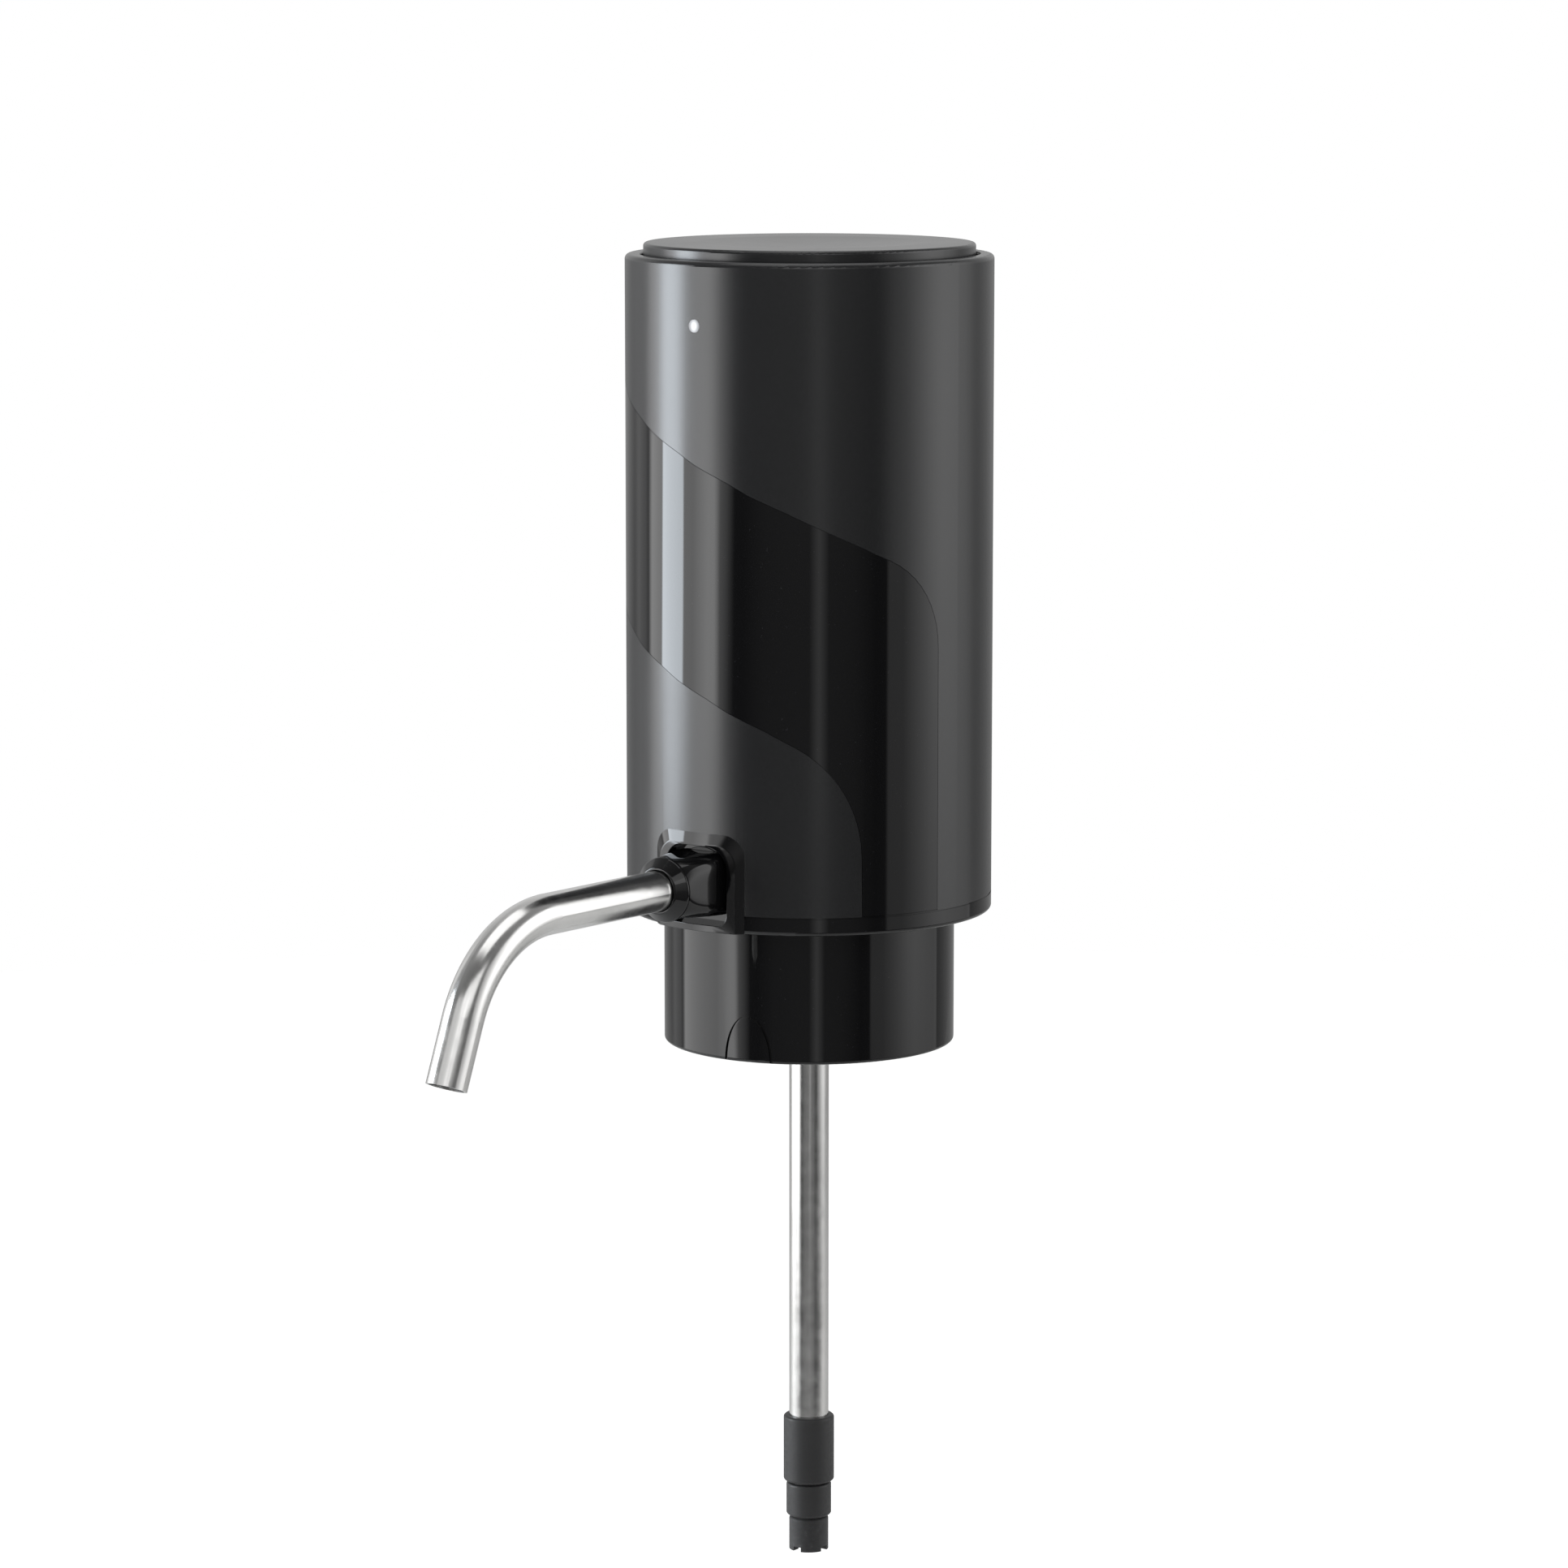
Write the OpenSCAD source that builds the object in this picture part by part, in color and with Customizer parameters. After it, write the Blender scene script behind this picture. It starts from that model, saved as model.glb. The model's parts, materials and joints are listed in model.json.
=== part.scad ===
// Electric wine aerator with a plug and a dip tube under its body, in millimetres.
// The origin is on the axis at the seat above the plug. +Z is up and the spout points along -Y.

/* [Body] */
// Outer diameter of the body
body_d = 64; // [58:0.5:70]
// Height of the body from its underside to the rim
body_h = 114.5; // [104:0.5:125]
// Wall of the body shell
shell_wall = 2.2; // [1.9:0.1:2.4]
// Width of the rim around the button
rim_w = 2.7; // [2.3:0.1:3]
// Rounding of the rim's outer edge
rim_round = 0.9; // [0.4:0.1:1.1]
// Height of the base cover's ring
base_t = 3.2; // [3:0.1:3.6]
// Rounding of the base cover's lower edge
base_round = 0.7; // [0.3:0.1:1]

/* [Button] */
// Height of the button above the rim
button_proud = 1.9; // [1.6:0.1:2.6]
// Gap between the button and the rim
button_gap = 0.5; // [0.3:0.05:0.7]
// Press of the button
button_travel = 1.2; // [0.8:0.1:1.3]
// Radius of the finger dish in the button
dish_r = 17; // [10:0.2:20]
// Depth of the finger dish
dish_depth = 0.45; // [0.3:0.05:0.7]
// Rounding of the button's upper edge
button_round = 0.6; // [0.3:0.1:1.5]
// Thickness of the button's top
button_top_t = 2.6; // [2.2:0.1:3]
// Wire of the button spring
spring_wire = 0.5; // [0.4:0.05:0.5]

/* [Gloss band] */
// Height of the band's upper edge at the front
band_upper = 80.2; // [76:0.2:82]
// Height of the band's lower edge at the front
band_lower = 41.15; // [38:0.1:46]
// Slope of the band in degrees
band_tilt = 24.6; // [22:0.2:26]
// Azimuth of the band's leading edge on the way down
band_lead = 81; // [78:1:86]
// Azimuth of the band's trailing edge on the way down
band_trail = 54; // [50:1:60]
// Thickness of the band
band_t = 0.6; // [0.4:0.1:0.8]

/* [Neck collar] */
// Outer diameter of the neck collar
collar_d = 51; // [50:0.5:54]
// Height of the collar below the body
collar_h = 23.6; // [21:0.2:27]
// Wall of the collar
collar_wall = 2.2; // [1.8:0.1:2.4]
// Thickness of the collar's top flange
collar_flange_t = 2.5; // [2.2:0.1:3]
// Azimuth of the arch line on the collar
arch_azimuth = 13; // [-20:1:20]
// Width of the arch line's arch
arch_w = 9; // [7:0.2:11]
// Height of the arch above the collar's lower edge
arch_h = 8.2; // [7:0.2:11]

/* [Bung] */
// Diameter of the plug
bung_d = 18.7; // [18.3:0.1:19.1]
// Length of the plug
bung_l = 16; // [14:0.5:18]
// Diameter of the lip seat
seat_d = 31; // [29:0.5:33]
// Thickness of the lip seat
seat_t = 2.5; // [2.2:0.1:3]

/* [Spout] */
// Height of the spout's axis above the body's underside
spout_h = 8.2; // [8:0.1:8.8]
// Outer diameter of the spout tube
spout_d = 7; // [6.6:0.1:7.1]
// Wall of the spout tube
spout_wall = 0.5; // [0.4:0.05:0.7]
// Straight run of the spout outside its socket
spout_run = 29; // [22:0.2:42]
// Radius of the spout's bend
spout_bend_r = 23; // [18:0.5:30]
// Angle of the spout's bend
spout_bend = 68.5; // [50:0.5:80]
// Straight end of the spout
spout_tip = 11.5; // [6:0.5:20]
// Reach of the socket beyond the body
socket_proud = 10.4; // [9.4:0.2:11.8]
// Diameter of the ring at the socket's mouth
socket_ring_d = 11.2; // [10.4:0.1:11.6]
// Height of the cone at the ring's mouth
ring_cone = 1.6; // [0.8:0.1:1.7]
// Width of the spout frame where it meets the body
frame_w = 19.2; // [18.6:0.2:21]
// Height of the spout frame
frame_h = 17; // [16.8:0.1:18]
// Depth of the frame in front of the body
frame_proud = 0.5; // [0.3:0.1:0.8]
// Width of the slope at the frame's sides
frame_slope = 1.3; // [0.9:0.1:1.5]
// Width of the frame's opening
opening_w = 13.2; // [12.6:0.2:13.4]

/* [Dip tube] */
// Outer diameter of the upper tube
upper_d = 7; // [6.9:0.05:7.2]
// Outer diameter of the middle tube
middle_d = 6; // [5.8:0.05:6]
// Outer diameter of the lower tube
lower_d = 5; // [4.6:0.05:5]
// Wall of the three tubes
tube_wall = 0.4; // [0.3:0.05:0.4]
// Length of the upper tube below the seat
upper_l = 96; // [94:2:120]
// Length of the upper tube that the travel of the sliding tubes leaves unused
tube_spare = 16; // [14:1:40]

/* [Indicator] */
// Distance of the indicator light below the rim
led_drop = 10.9; // [10.6:0.1:11.4]
// Diameter of the light pipe
pipe_d = 2.2; // [1.8:0.1:2.4]

/* [Pump] */
// Diameter of the pump
pump_d = 27; // [26:0.2:27.2]
// Height of the pump housing
housing_h = 16.6; // [16:0.2:18]
// Diameter of the motor
motor_d = 24.4; // [23.6:0.2:24.6]
// Room above the motor can for its end cap, the top plate and the leads
motor_room = 12.5; // [11.5:0.1:13.5]

/* [Battery] */
// Diameter of the battery cell
battery_d = 18.2; // [17.8:0.1:18.4]
// Room above the battery cell for its tab and lead
battery_room = 4.3; // [3.3:0.1:9]

/* [Fits] */
// Running clearance of turning and sliding pieces
run_gap = 0.05; // [0.03:0.01:0.08]
// Clearance between pieces of the housing
part_gap = 0.2; // [0.15:0.05:0.25]

/* [Hidden] */
$fn = 96;
wide = 400;
press_gap = 0.02;
screw_gap = 0.15;
body_r = body_d / 2;
bore_r = body_r - shell_wall;
under_z = seat_t + collar_flange_t;
base_top = under_z + base_t;
rim_z = under_z + body_h;
spigot_r = 7.5;
bung_r = bung_d / 2;

// Layout of the inner pieces
web_x = -6.2;
web_t = 3;
post_r = 3.2;
post_tip_r = 2.2;
post_x = 13;
post_y = pump_d / 2 + post_r + 0.3;
post_places = [for (sx = [-1, 1], sy = [-1, 1]) [sx * post_x, sy * post_y]];
post_reach = norm([post_x, post_y]);
pump_r = pump_d / 2;
motor_r = motor_d / 2;
battery_r = battery_d / 2;
pump_x = web_x + web_t + 0.7 + pump_r;
battery_x = web_x - 1.2 - battery_r;
chassis_z = under_z + frame_h + 2;
plate_t = 2;
chassis_top = chassis_z + plate_t;

// Spout and manifold, with u as the distance from the axis towards the spout
spout_z = under_z + spout_h;
spout_r = spout_d / 2;
socket_face = body_r + socket_proud;
socket_step = socket_face - 19.4;
pipe_end = socket_step - 1.2;
socket_back = pipe_end - 4;
socket_r = 6;
outlet_r = 4;
bend_u = socket_face + spout_run;
seal_section = 0.53;
seal_places = [socket_step + 2.2, socket_step + 5];
tub_wall = 1;
tub_back = body_r - 3.4;
opening_z = [under_z + 1.2, under_z + frame_h - 2.2];

// Air line, from the manifold up to the pump
arm_top = spout_z + 4.2;
air_x = 5.6;
air_z = spout_z + 1.4;
barb_r = 1.6;
air_r = 0.8;
valve_z = arm_top + 8.4;
valve_h = 5;
nozzle_z = valve_z + valve_h + 4.6;
pump_z = nozzle_z + 5;
head_t = 5;
valve_plate_t = 2.2;
skin_t = 1.2;
head_top = pump_z + head_t;
skin_z = head_top + valve_plate_t;
housing_z = skin_z + skin_t;
cup_top = housing_z + 3.6;
motor_z = housing_z + housing_h;
hub_z = motor_z - 8.2;
hub_h = 4.8;
cup_reach = 6.5;
cup_turns = [60, 180, 300];
pump_screw_reach = 11.4;
pump_screw_turns = [0, 120, 240];
motor_ring_z = motor_z + 5;

// Top of the body
top_bore_r = body_r - rim_w;
button_r = top_bore_r - button_gap;
deck_t = 1.8;
deck_top = rim_z - 4.1;
deck_z = deck_top - deck_t;
flange_t = 1.6;
flange_r = post_reach + post_tip_r + 0.4;
button_top = rim_z + button_proud;
button_under = button_top - button_top_t;
button_low = deck_top + button_travel + 0.1;
dish_step = 0.15;
dish_ball_r = (dish_r * dish_r + dish_depth * dish_depth) / (2 * dish_depth);
hook_r = 17.2;
hook_angles = [90, 210, 330];
led_z = rim_z - led_drop;
board_t = 1.6;
board_top = led_z - 1.6;
board_z = board_top - board_t;
board_r = max(bore_r - 4.3, post_reach + post_tip_r + 0.8);
switch_h = 3.4;
plunger_top = board_top + switch_h + 1.5;

// Motor and battery cell, as long as the body's height leaves room for
motor_l = board_z - motor_z - motor_room;
can_top = motor_z + motor_l;
motor_top = can_top + 2;
stack_z = motor_z + 0.18 * motor_l;
stack_l = 0.53 * motor_l;
armature_slots = [0, 120, 240];
top_plate_z = motor_top + 0.4;
top_plate_t = 1.6;
battery_l = top_plate_z - chassis_top - battery_room;

// Charging board
charge_z = chassis_top + 5;
charge_t = 1.2;
charge_w = 18;
charge_l = 12;
charge_y = body_r - charge_l - 5.6;
charge_screw_at = [6.6, charge_y + 3.4];
charge_lead_at = [1.6, charge_y + 1.7];
board_boss_y = charge_y + 4.8;
web_half = charge_y - 0.4;
usb_w = 8.94;
usb_h = 3.26;
usb_l = 7.4;
usb_mouth = body_r - 0.7;
usb_z = charge_z + charge_t + usb_h / 2;

// Dip tube, closed up
upper_r = upper_d / 2;
middle_r = middle_d / 2;
lower_r = lower_d / 2;
tube_travel = upper_l - tube_spare;
tube_top = 1.5;
gland_lip = 3;
middle_gland_top = -upper_l - gland_lip - 0.3;
middle_low = middle_gland_top - 3;
middle_top = -upper_l + tube_travel + 10;
foot_top = middle_low - gland_lip - 0.3;
foot_h = 6;
lower_low = foot_top - foot_h + 1;
lower_top = middle_low + tube_travel + 10;

// Screws
screw_r = 1.1;
head_r = 2.2;
head_h = 1.4;
lip_r = max(bore_r - part_gap - 2.2, post_reach + post_r + 0.3);
skirt_r = max(button_r - 3, post_reach + head_r + 0.3);
collar_screw_reach = 19.6;
collar_screws_at = [[collar_screw_reach, 0], [-collar_screw_reach, 0], [0, collar_screw_reach]];
lug_reach = 13;
lug_r = 3.2;
lug_t = 2.6;
lug_turns = [180, 90];
manifold_screws_at = [for (a = lug_turns) lug_reach * [cos(a), sin(a)]];

module tube(outer, inner, h) {
    difference() {
        cylinder(r = outer, h = h);
        translate([0, 0, -1])
            cylinder(r = inner, h = h + 2);
    }
}

// Cuts the outer corner of an outline to a round, seen from the centre of the round
module corner_cut(r) {
    difference() {
        square(r + 1);
        circle(r);
    }
}

// Screw along +Z with the underside of its head at zero
module screw(head, thick, shank, length) {
    difference() {
        union() {
            translate([0, 0, -thick])
                cylinder(r = head, h = thick);
            translate([0, 0, -thick / 2])
                cylinder(r = shank, h = length + thick / 2);
        }
        for (turn = [0, 90])
            rotate([0, 0, turn])
                translate([-head * 0.6, -0.3, -thick - 1])
                    cube([head * 1.2, 0.6, 1 + thick / 2]);
    }
}

// Outline with rounded upper corners and, where given, rounded lower corners
module arch_outline(half, low, high, top_r, low_r = 0) {
    mid_low = low + low_r;
    mid_high = high - top_r;
    translate([-half, mid_low])
        square([2 * half, mid_high - mid_low]);
    translate([-half + top_r, mid_high - 0.5])
        square([2 * (half - top_r), top_r + 0.5]);
    for (side = [-1, 1])
        translate([side * (half - top_r), mid_high])
            circle(top_r);
    if (low_r > 0) {
        translate([-half + low_r, low])
            square([2 * (half - low_r), low_r + 0.5]);
        for (side = [-1, 1])
            translate([side * (half - low_r), mid_low])
                circle(low_r);
    }
}

// Extrudes an outline towards the spout, from u_0 to u_1
module toward_spout(u_0, u_1) {
    translate([0, -u_0, 0])
        rotate([90, 0, 0])
            linear_extrude(u_1 - u_0)
                children();
}

// Turns an outline round the spout's axis, with u along the outline's second axis
module round_spout() {
    translate([0, 0, spout_z])
        rotate([90, 0, 0])
            rotate_extrude()
                children();
}

module spout_cylinder(r, u_0, u_1) {
    translate([0, -u_0, spout_z])
        rotate([90, 0, 0])
            cylinder(r = r, h = u_1 - u_0);
}

// Edge of the band, worked out on the unrolled wall: s runs round the body from the front, z up
function round_s(azimuth) = azimuth * PI / 180 * body_r;
function edge_line(z, c) = under_z + z + c / cos(band_tilt);
function corner_at(line, s, r) = [s - r, line - (s - r) * tan(band_tilt) - r / cos(band_tilt)];
function back_at(line, s, r) = [s + r, line - (s + r) * tan(band_tilt) + r / cos(band_tilt)];
function arc_up(at, r, s) = at[1] + sqrt(max(0, r * r - pow(s - at[0], 2)));
function arc_down(at, r, s) = at[1] - sqrt(max(0, r * r - pow(s - at[0], 2)));

// Columns [s, low, high] of the band, grown by c on all sides
function band_columns(c, low_z) =
    let (
        lead_r = 17 + c,
        trail_r = 22 - c,
        back_r = 17 + c,
        upper = edge_line(band_upper, c),
        lower = edge_line(band_lower, -c),
        lead = corner_at(upper, round_s(band_lead) + c, lead_r),
        trail = corner_at(lower, round_s(band_trail) - c, trail_r),
        back = back_at(lower, round_s(-178) - c, back_r),
        high_z = rim_z - 2.5 + c,
        turn = 90 - band_tilt,
        back_s = [for (a = [0 : 0.125 : 1]) back[0] + back_r * cos(180 + a * turn)],
        flat_from = back[0] - back_r * sin(band_tilt),
        flat_to = trail[0] + trail_r * sin(band_tilt),
        flat_s = [for (a = [0.1 : 0.1 : 0.95]) flat_from + a * (flat_to - flat_from)],
        trail_s = [for (a = [0 : 0.1 : 1]) trail[0] + trail_r * cos(turn * (1 - a))],
        lead_s = [for (a = [0 : 0.1 : 1]) lead[0] + lead_r * cos(turn * (1 - a))],
        all_s = concat(back_s, flat_s, trail_s, [trail[0] + trail_r + 0.1], lead_s)
    )
    [for (s = all_s) [
        s,
        s < flat_from ? arc_down(back, back_r, s)
            : s < flat_to ? lower - s * tan(band_tilt)
            : s < trail[0] + trail_r + 0.05 ? arc_up(trail, trail_r, s)
            : low_z,
        s < lead[0] + lead_r * sin(band_tilt) ? min(high_z, upper - s * tan(band_tilt))
            : arc_up(lead, lead_r, s)
    ]];

function on_wall(r, s, z) = [r * sin(s / body_r * 180 / PI), -r * cos(s / body_r * 180 / PI), z];

// Wedge-like solid through the wall, with the band's outline
module band_cutter(c, low_z) {
    columns = band_columns(c, low_z);
    last = len(columns) - 1;
    inner = body_r - 3;
    outer = body_r + 3;
    points = [for (k = columns) each [
        on_wall(inner, k[0], k[1]),
        on_wall(outer, k[0], k[1]),
        on_wall(outer, k[0], k[2]),
        on_wall(inner, k[0], k[2])
    ]];
    sides = [for (i = [0 : last - 1], k = [0 : 3]) each
        let (a = 4 * i + k, b = 4 * i + (k + 1) % 4)
        [[a, b, b + 4], [a, b + 4, a + 4]]];
    ends = [[3, 2, 1], [3, 1, 0],
        [4 * last, 4 * last + 1, 4 * last + 2], [4 * last, 4 * last + 2, 4 * last + 3]];
    polyhedron(points, concat(sides, ends), convexity = 6);
}

module frame_hole(c) {
    toward_spout(body_r - 8, body_r + 8)
        arch_outline(opening_w / 2 + tub_wall + c, under_z - 2, opening_z[1] + tub_wall + c, 4.5);
}

module body_shell() {
    color([0.09, 0.09, 0.1])
        difference() {
            rotate_extrude()
                difference() {
                    translate([0, base_top])
                        square([body_r, rim_z - base_top]);
                    translate([-1, base_top - 1])
                        square([bore_r + 1, deck_z - flange_t - base_top + 1]);
                    translate([-1, deck_z - flange_t - 1])
                        square([flange_r + 1, flange_t + 2]);
                    translate([-1, deck_z])
                        square([top_bore_r + 1, rim_z - deck_z + 1]);
                    translate([body_r - rim_round, rim_z - rim_round])
                        corner_cut(rim_round);
                    translate([top_bore_r + 0.4, rim_z - 0.4])
                        mirror([1, 0])
                            corner_cut(0.4);
                }
            difference() {
                band_cutter(0.08, base_top - 1);
                cylinder(r = body_r - band_t - run_gap, h = wide);
            }
            frame_hole(0.1);
            translate([0, -bore_r + 2, led_z])
                rotate([90, 0, 0])
                    cylinder(r = pipe_d / 2 + run_gap, h = 10);
            translate([0, bore_r - 3, usb_z])
                rotate([-90, 0, 0])
                    linear_extrude(10) {
                        square([usb_w - usb_h + 0.5, usb_h + 0.8], center = true);
                        for (side = [-1, 1])
                            translate([side * (usb_w - usb_h + 0.5) / 2, 0])
                                circle(usb_h / 2 + 0.4);
                    }
        }
}

module gloss_band() {
    color([0.02, 0.02, 0.025])
        intersection() {
            band_cutter(0, base_top + 0.1);
            translate([0, 0, base_top])
                tube(body_r, body_r - band_t, rim_z - base_top);
        }
}

module base_cover() {
    color([0.03, 0.03, 0.035])
        difference() {
            union() {
                rotate_extrude()
                    difference() {
                        translate([0, under_z])
                            square([body_r, base_t]);
                        translate([-1, under_z - 1])
                            square([spigot_r + part_gap + 1, base_t + 2]);
                        translate([body_r - base_round, under_z + base_round])
                            mirror([0, 1])
                                corner_cut(base_round);
                        translate([body_r - 0.2, base_top - 0.25])
                            square(1);
                    }
                translate([0, 0, base_top - 0.5])
                    tube(bore_r - part_gap, lip_r, 3.5);
                for (p = collar_screws_at)
                    translate([p[0], p[1], base_top - 0.5])
                        cylinder(r = 3, h = 3.3);
            }
            frame_hole(0.1);
            spout_cylinder(socket_r + 0.15, socket_back - 0.5, body_r);
            for (p = post_places)
                translate([p[0], p[1], under_z - 1]) {
                    cylinder(r = screw_r + screw_gap, h = base_t + 2);
                    cylinder(r = head_r + 0.2, h = head_h + 1.2);
                }
            for (p = collar_screws_at)
                translate([p[0], p[1], under_z - 1])
                    cylinder(r = screw_r + press_gap, h = base_t + 2.8);
            for (p = manifold_screws_at)
                translate([p[0], p[1], under_z + 0.6])
                    cylinder(r = screw_r + press_gap, h = base_t);
        }
}

module base_screws() {
    color([0.72, 0.73, 0.75])
        for (p = post_places)
            translate([p[0], p[1], under_z + head_h + 0.2])
                screw(head_r, head_h, screw_r, 9);
}

module neck_collar() {
    low = under_z - collar_h;
    reach = collar_d / 2;
    half = arch_w / 2;
    line_w = 0.45;
    color([0.03, 0.03, 0.035])
        difference() {
            rotate_extrude()
                difference() {
                    translate([0, low])
                        square([reach, collar_h]);
                    translate([-1, low - 1])
                        square([reach - collar_wall + 1, seat_t - low + 1]);
                    translate([-1, low])
                        square([spigot_r + part_gap + 1, collar_h + 1]);
                    translate([reach - 0.6, low + 0.6])
                        mirror([0, 1])
                            corner_cut(0.6);
                }
            rotate([0, 0, arch_azimuth])
                difference() {
                    toward_spout(reach - 3, reach + 3)
                        translate([0, low])
                            difference() {
                                scale([1, arch_h / half])
                                    circle(half);
                                scale([1, (arch_h - line_w) / (half - line_w)])
                                    circle(half - line_w);
                            }
                    translate([0, 0, low - 5])
                        cylinder(r = reach - 0.35, h = wide);
                }
            for (p = collar_screws_at)
                translate([p[0], p[1], 0])
                    cylinder(r = screw_r + screw_gap, h = under_z + 1);
        }
}

module collar_screws() {
    color([0.72, 0.73, 0.75])
        for (p = collar_screws_at)
            translate([p[0], p[1], seat_t])
                screw(head_r, head_h, screw_r, collar_flange_t + base_t + 1.5);
}

module bottle_bung() {
    color([0.06, 0.06, 0.06])
        rotate_extrude()
            difference() {
                union() {
                    square([seat_d / 2, seat_t]);
                    translate([0, -bung_l + 2])
                        square([bung_r, bung_l - 1]);
                    polygon([
                        [0, -bung_l],
                        [bung_r - 1, -bung_l],
                        [bung_r, -bung_l + 2],
                        [0, -bung_l + 2]
                    ]);
                }
                translate([-1, -bung_l - 1])
                    square([spigot_r + run_gap + 1, bung_l + seat_t + 2]);
            }
}

module manifold() {
    color([0.82, 0.82, 0.8])
        difference() {
            union() {
                translate([0, 0, -bung_l])
                    cylinder(r = spigot_r, h = arm_top + bung_l);
                translate([0, 0, base_top])
                    cylinder(r = 8.6, h = arm_top - base_top);
                spout_cylinder(outlet_r, 0, pipe_end);
                translate([0, -4, spout_z - 3])
                    cube([pump_x, 8, arm_top - spout_z + 3]);
                translate([pump_x, 0, spout_z - 3])
                    cylinder(r = 4, h = arm_top - spout_z + 3);
                translate([pump_x, 0, arm_top - 1])
                    cylinder(r = barb_r, h = 4.8);
                for (turn = lug_turns)
                    rotate([0, 0, turn]) {
                        translate([lug_reach, 0, base_top])
                            cylinder(r = lug_r, h = lug_t);
                        translate([0, -lug_r, base_top])
                            cube([lug_reach, 2 * lug_r, lug_t]);
                    }
            }
            translate([0, 0, -bung_l - 1])
                cylinder(r = upper_r + run_gap, h = bung_l + 1 + tube_top + 0.2);
            translate([0, 0, -1])
                cylinder(r = upper_r - 0.5, h = spout_z + 1);
            spout_cylinder(upper_r - 0.5, 0, pipe_end + 1);
            translate([0, 0, -bung_l + 2])
                cylinder(r = upper_r + run_gap + 0.9, h = 1.2);
            translate([pump_x, 0, spout_z])
                cylinder(r = air_r, h = 20);
            translate([air_x, 0, -bung_l - 1])
                cylinder(r = air_r, h = air_z + bung_l + 1);
            translate([air_x, 0, air_z])
                rotate([0, 90, 0])
                    cylinder(r = 1, h = wide);
            for (p = manifold_screws_at)
                translate([p[0], p[1], base_top - 1])
                    cylinder(r = screw_r + screw_gap, h = 5);
        }
}

module manifold_screws() {
    color([0.72, 0.73, 0.75])
        for (p = manifold_screws_at)
            translate([p[0], p[1], base_top + lug_t])
                rotate([180, 0, 0])
                    screw(head_r, head_h, screw_r, lug_t + base_t - 0.8);
}

module air_plug() {
    color([0.2, 0.2, 0.21])
        translate([pump_x + 1.4, 0, air_z])
            rotate([0, 90, 0])
                cylinder(r = 1 - press_gap, h = 2.4);
}

module dip_seal() {
    color([0.05, 0.05, 0.05])
        translate([0, 0, -bung_l + 2.6])
            rotate_extrude()
                translate([upper_r + run_gap + 0.44, 0])
                    circle(0.44);
}

module dip_tube_upper() {
    color([0.78, 0.79, 0.8])
        translate([0, 0, -upper_l])
            tube(upper_r, upper_r - tube_wall, upper_l + tube_top);
}

// Bush on a tube's lower end, which guides the next tube
module gland(tube_r, tube_low, guide_r, over) {
    outer = tube_r + 1;
    rotate_extrude()
        difference() {
            translate([guide_r + run_gap, tube_low - gland_lip])
                square([outer - guide_r - run_gap, gland_lip + over]);
            translate([0, tube_low])
                square([tube_r + press_gap, over + 1]);
            translate([outer - 0.5, tube_low + over - 0.5])
                corner_cut(0.5);
            translate([outer - 0.5, tube_low - gland_lip + 0.5])
                mirror([0, 1])
                    corner_cut(0.5);
        }
}

module upper_gland() {
    color([0.1, 0.1, 0.1])
        gland(upper_r, -upper_l, middle_r, 9);
}

module dip_tube_middle() {
    color([0.78, 0.79, 0.8])
        translate([0, 0, middle_low])
            tube(middle_r, middle_r - tube_wall, middle_top - middle_low);
}

module middle_gland() {
    color([0.1, 0.1, 0.1])
        gland(middle_r, middle_low, lower_r, 3);
}

module dip_tube_lower() {
    color([0.78, 0.79, 0.8])
        translate([0, 0, lower_low])
            tube(lower_r, lower_r - tube_wall, lower_top - lower_low);
}

module dip_foot() {
    color([0.1, 0.1, 0.1])
        difference() {
            translate([0, 0, foot_top - foot_h])
                rotate_extrude()
                    difference() {
                        square([lower_r + 1, foot_h]);
                        translate([-1, 1])
                            square([lower_r + press_gap + 1, foot_h]);
                        translate([-1, -1])
                            square([lower_r - tube_wall + 1, 4]);
                        translate([lower_r + 0.5, foot_h - 0.5])
                            corner_cut(0.5);
                    }
            for (turn = [0, 90])
                rotate([0, 0, turn])
                    translate([-5, -0.8, foot_top - foot_h - 1])
                        cube([10, 1.6, 1.8]);
        }
}

// Plan of the frame between its two sloping sides, which run from the wall to the front
module frame_plan(half, front) {
    inner = half - frame_slope;
    root_u = sqrt(pow(body_r, 2) - half * half);
    front_u = sqrt(front * front - inner * inner);
    rise = front_u - root_u;
    polygon([
        [-half - frame_slope, rise - root_u],
        [-inner + frame_slope, -front_u - rise],
        [inner - frame_slope, -front_u - rise],
        [half + frame_slope, rise - root_u]
    ]);
}

// Arch-shaped rim that follows the wall and slopes back to it, with a tub behind its opening
module spout_frame() {
    half = frame_w / 2;
    front = body_r + frame_proud;
    top = under_z + frame_h;
    color([0.03, 0.03, 0.035])
        difference() {
            union() {
                intersection() {
                    rotate_extrude()
                        polygon([
                            [body_r + press_gap, under_z],
                            [front, under_z],
                            [front, opening_z[1] + 0.1],
                            [body_r + press_gap, top]
                        ]);
                    linear_extrude(wide)
                        frame_plan(half, front);
                    toward_spout(body_r / 2, front + 1)
                        arch_outline(half, under_z, top, 4);
                }
                intersection() {
                    toward_spout(tub_back, front + 1)
                        arch_outline(opening_w / 2 + tub_wall, under_z, opening_z[1] + tub_wall, 4.5);
                    cylinder(r = body_r + frame_proud / 2, h = wide);
                }
            }
            toward_spout(tub_back + 1.2, body_r + 9)
                arch_outline(opening_w / 2, opening_z[0], opening_z[1], 4, 2);
            spout_cylinder(socket_r + 0.1, tub_back - 5, body_r);
        }
}

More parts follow.
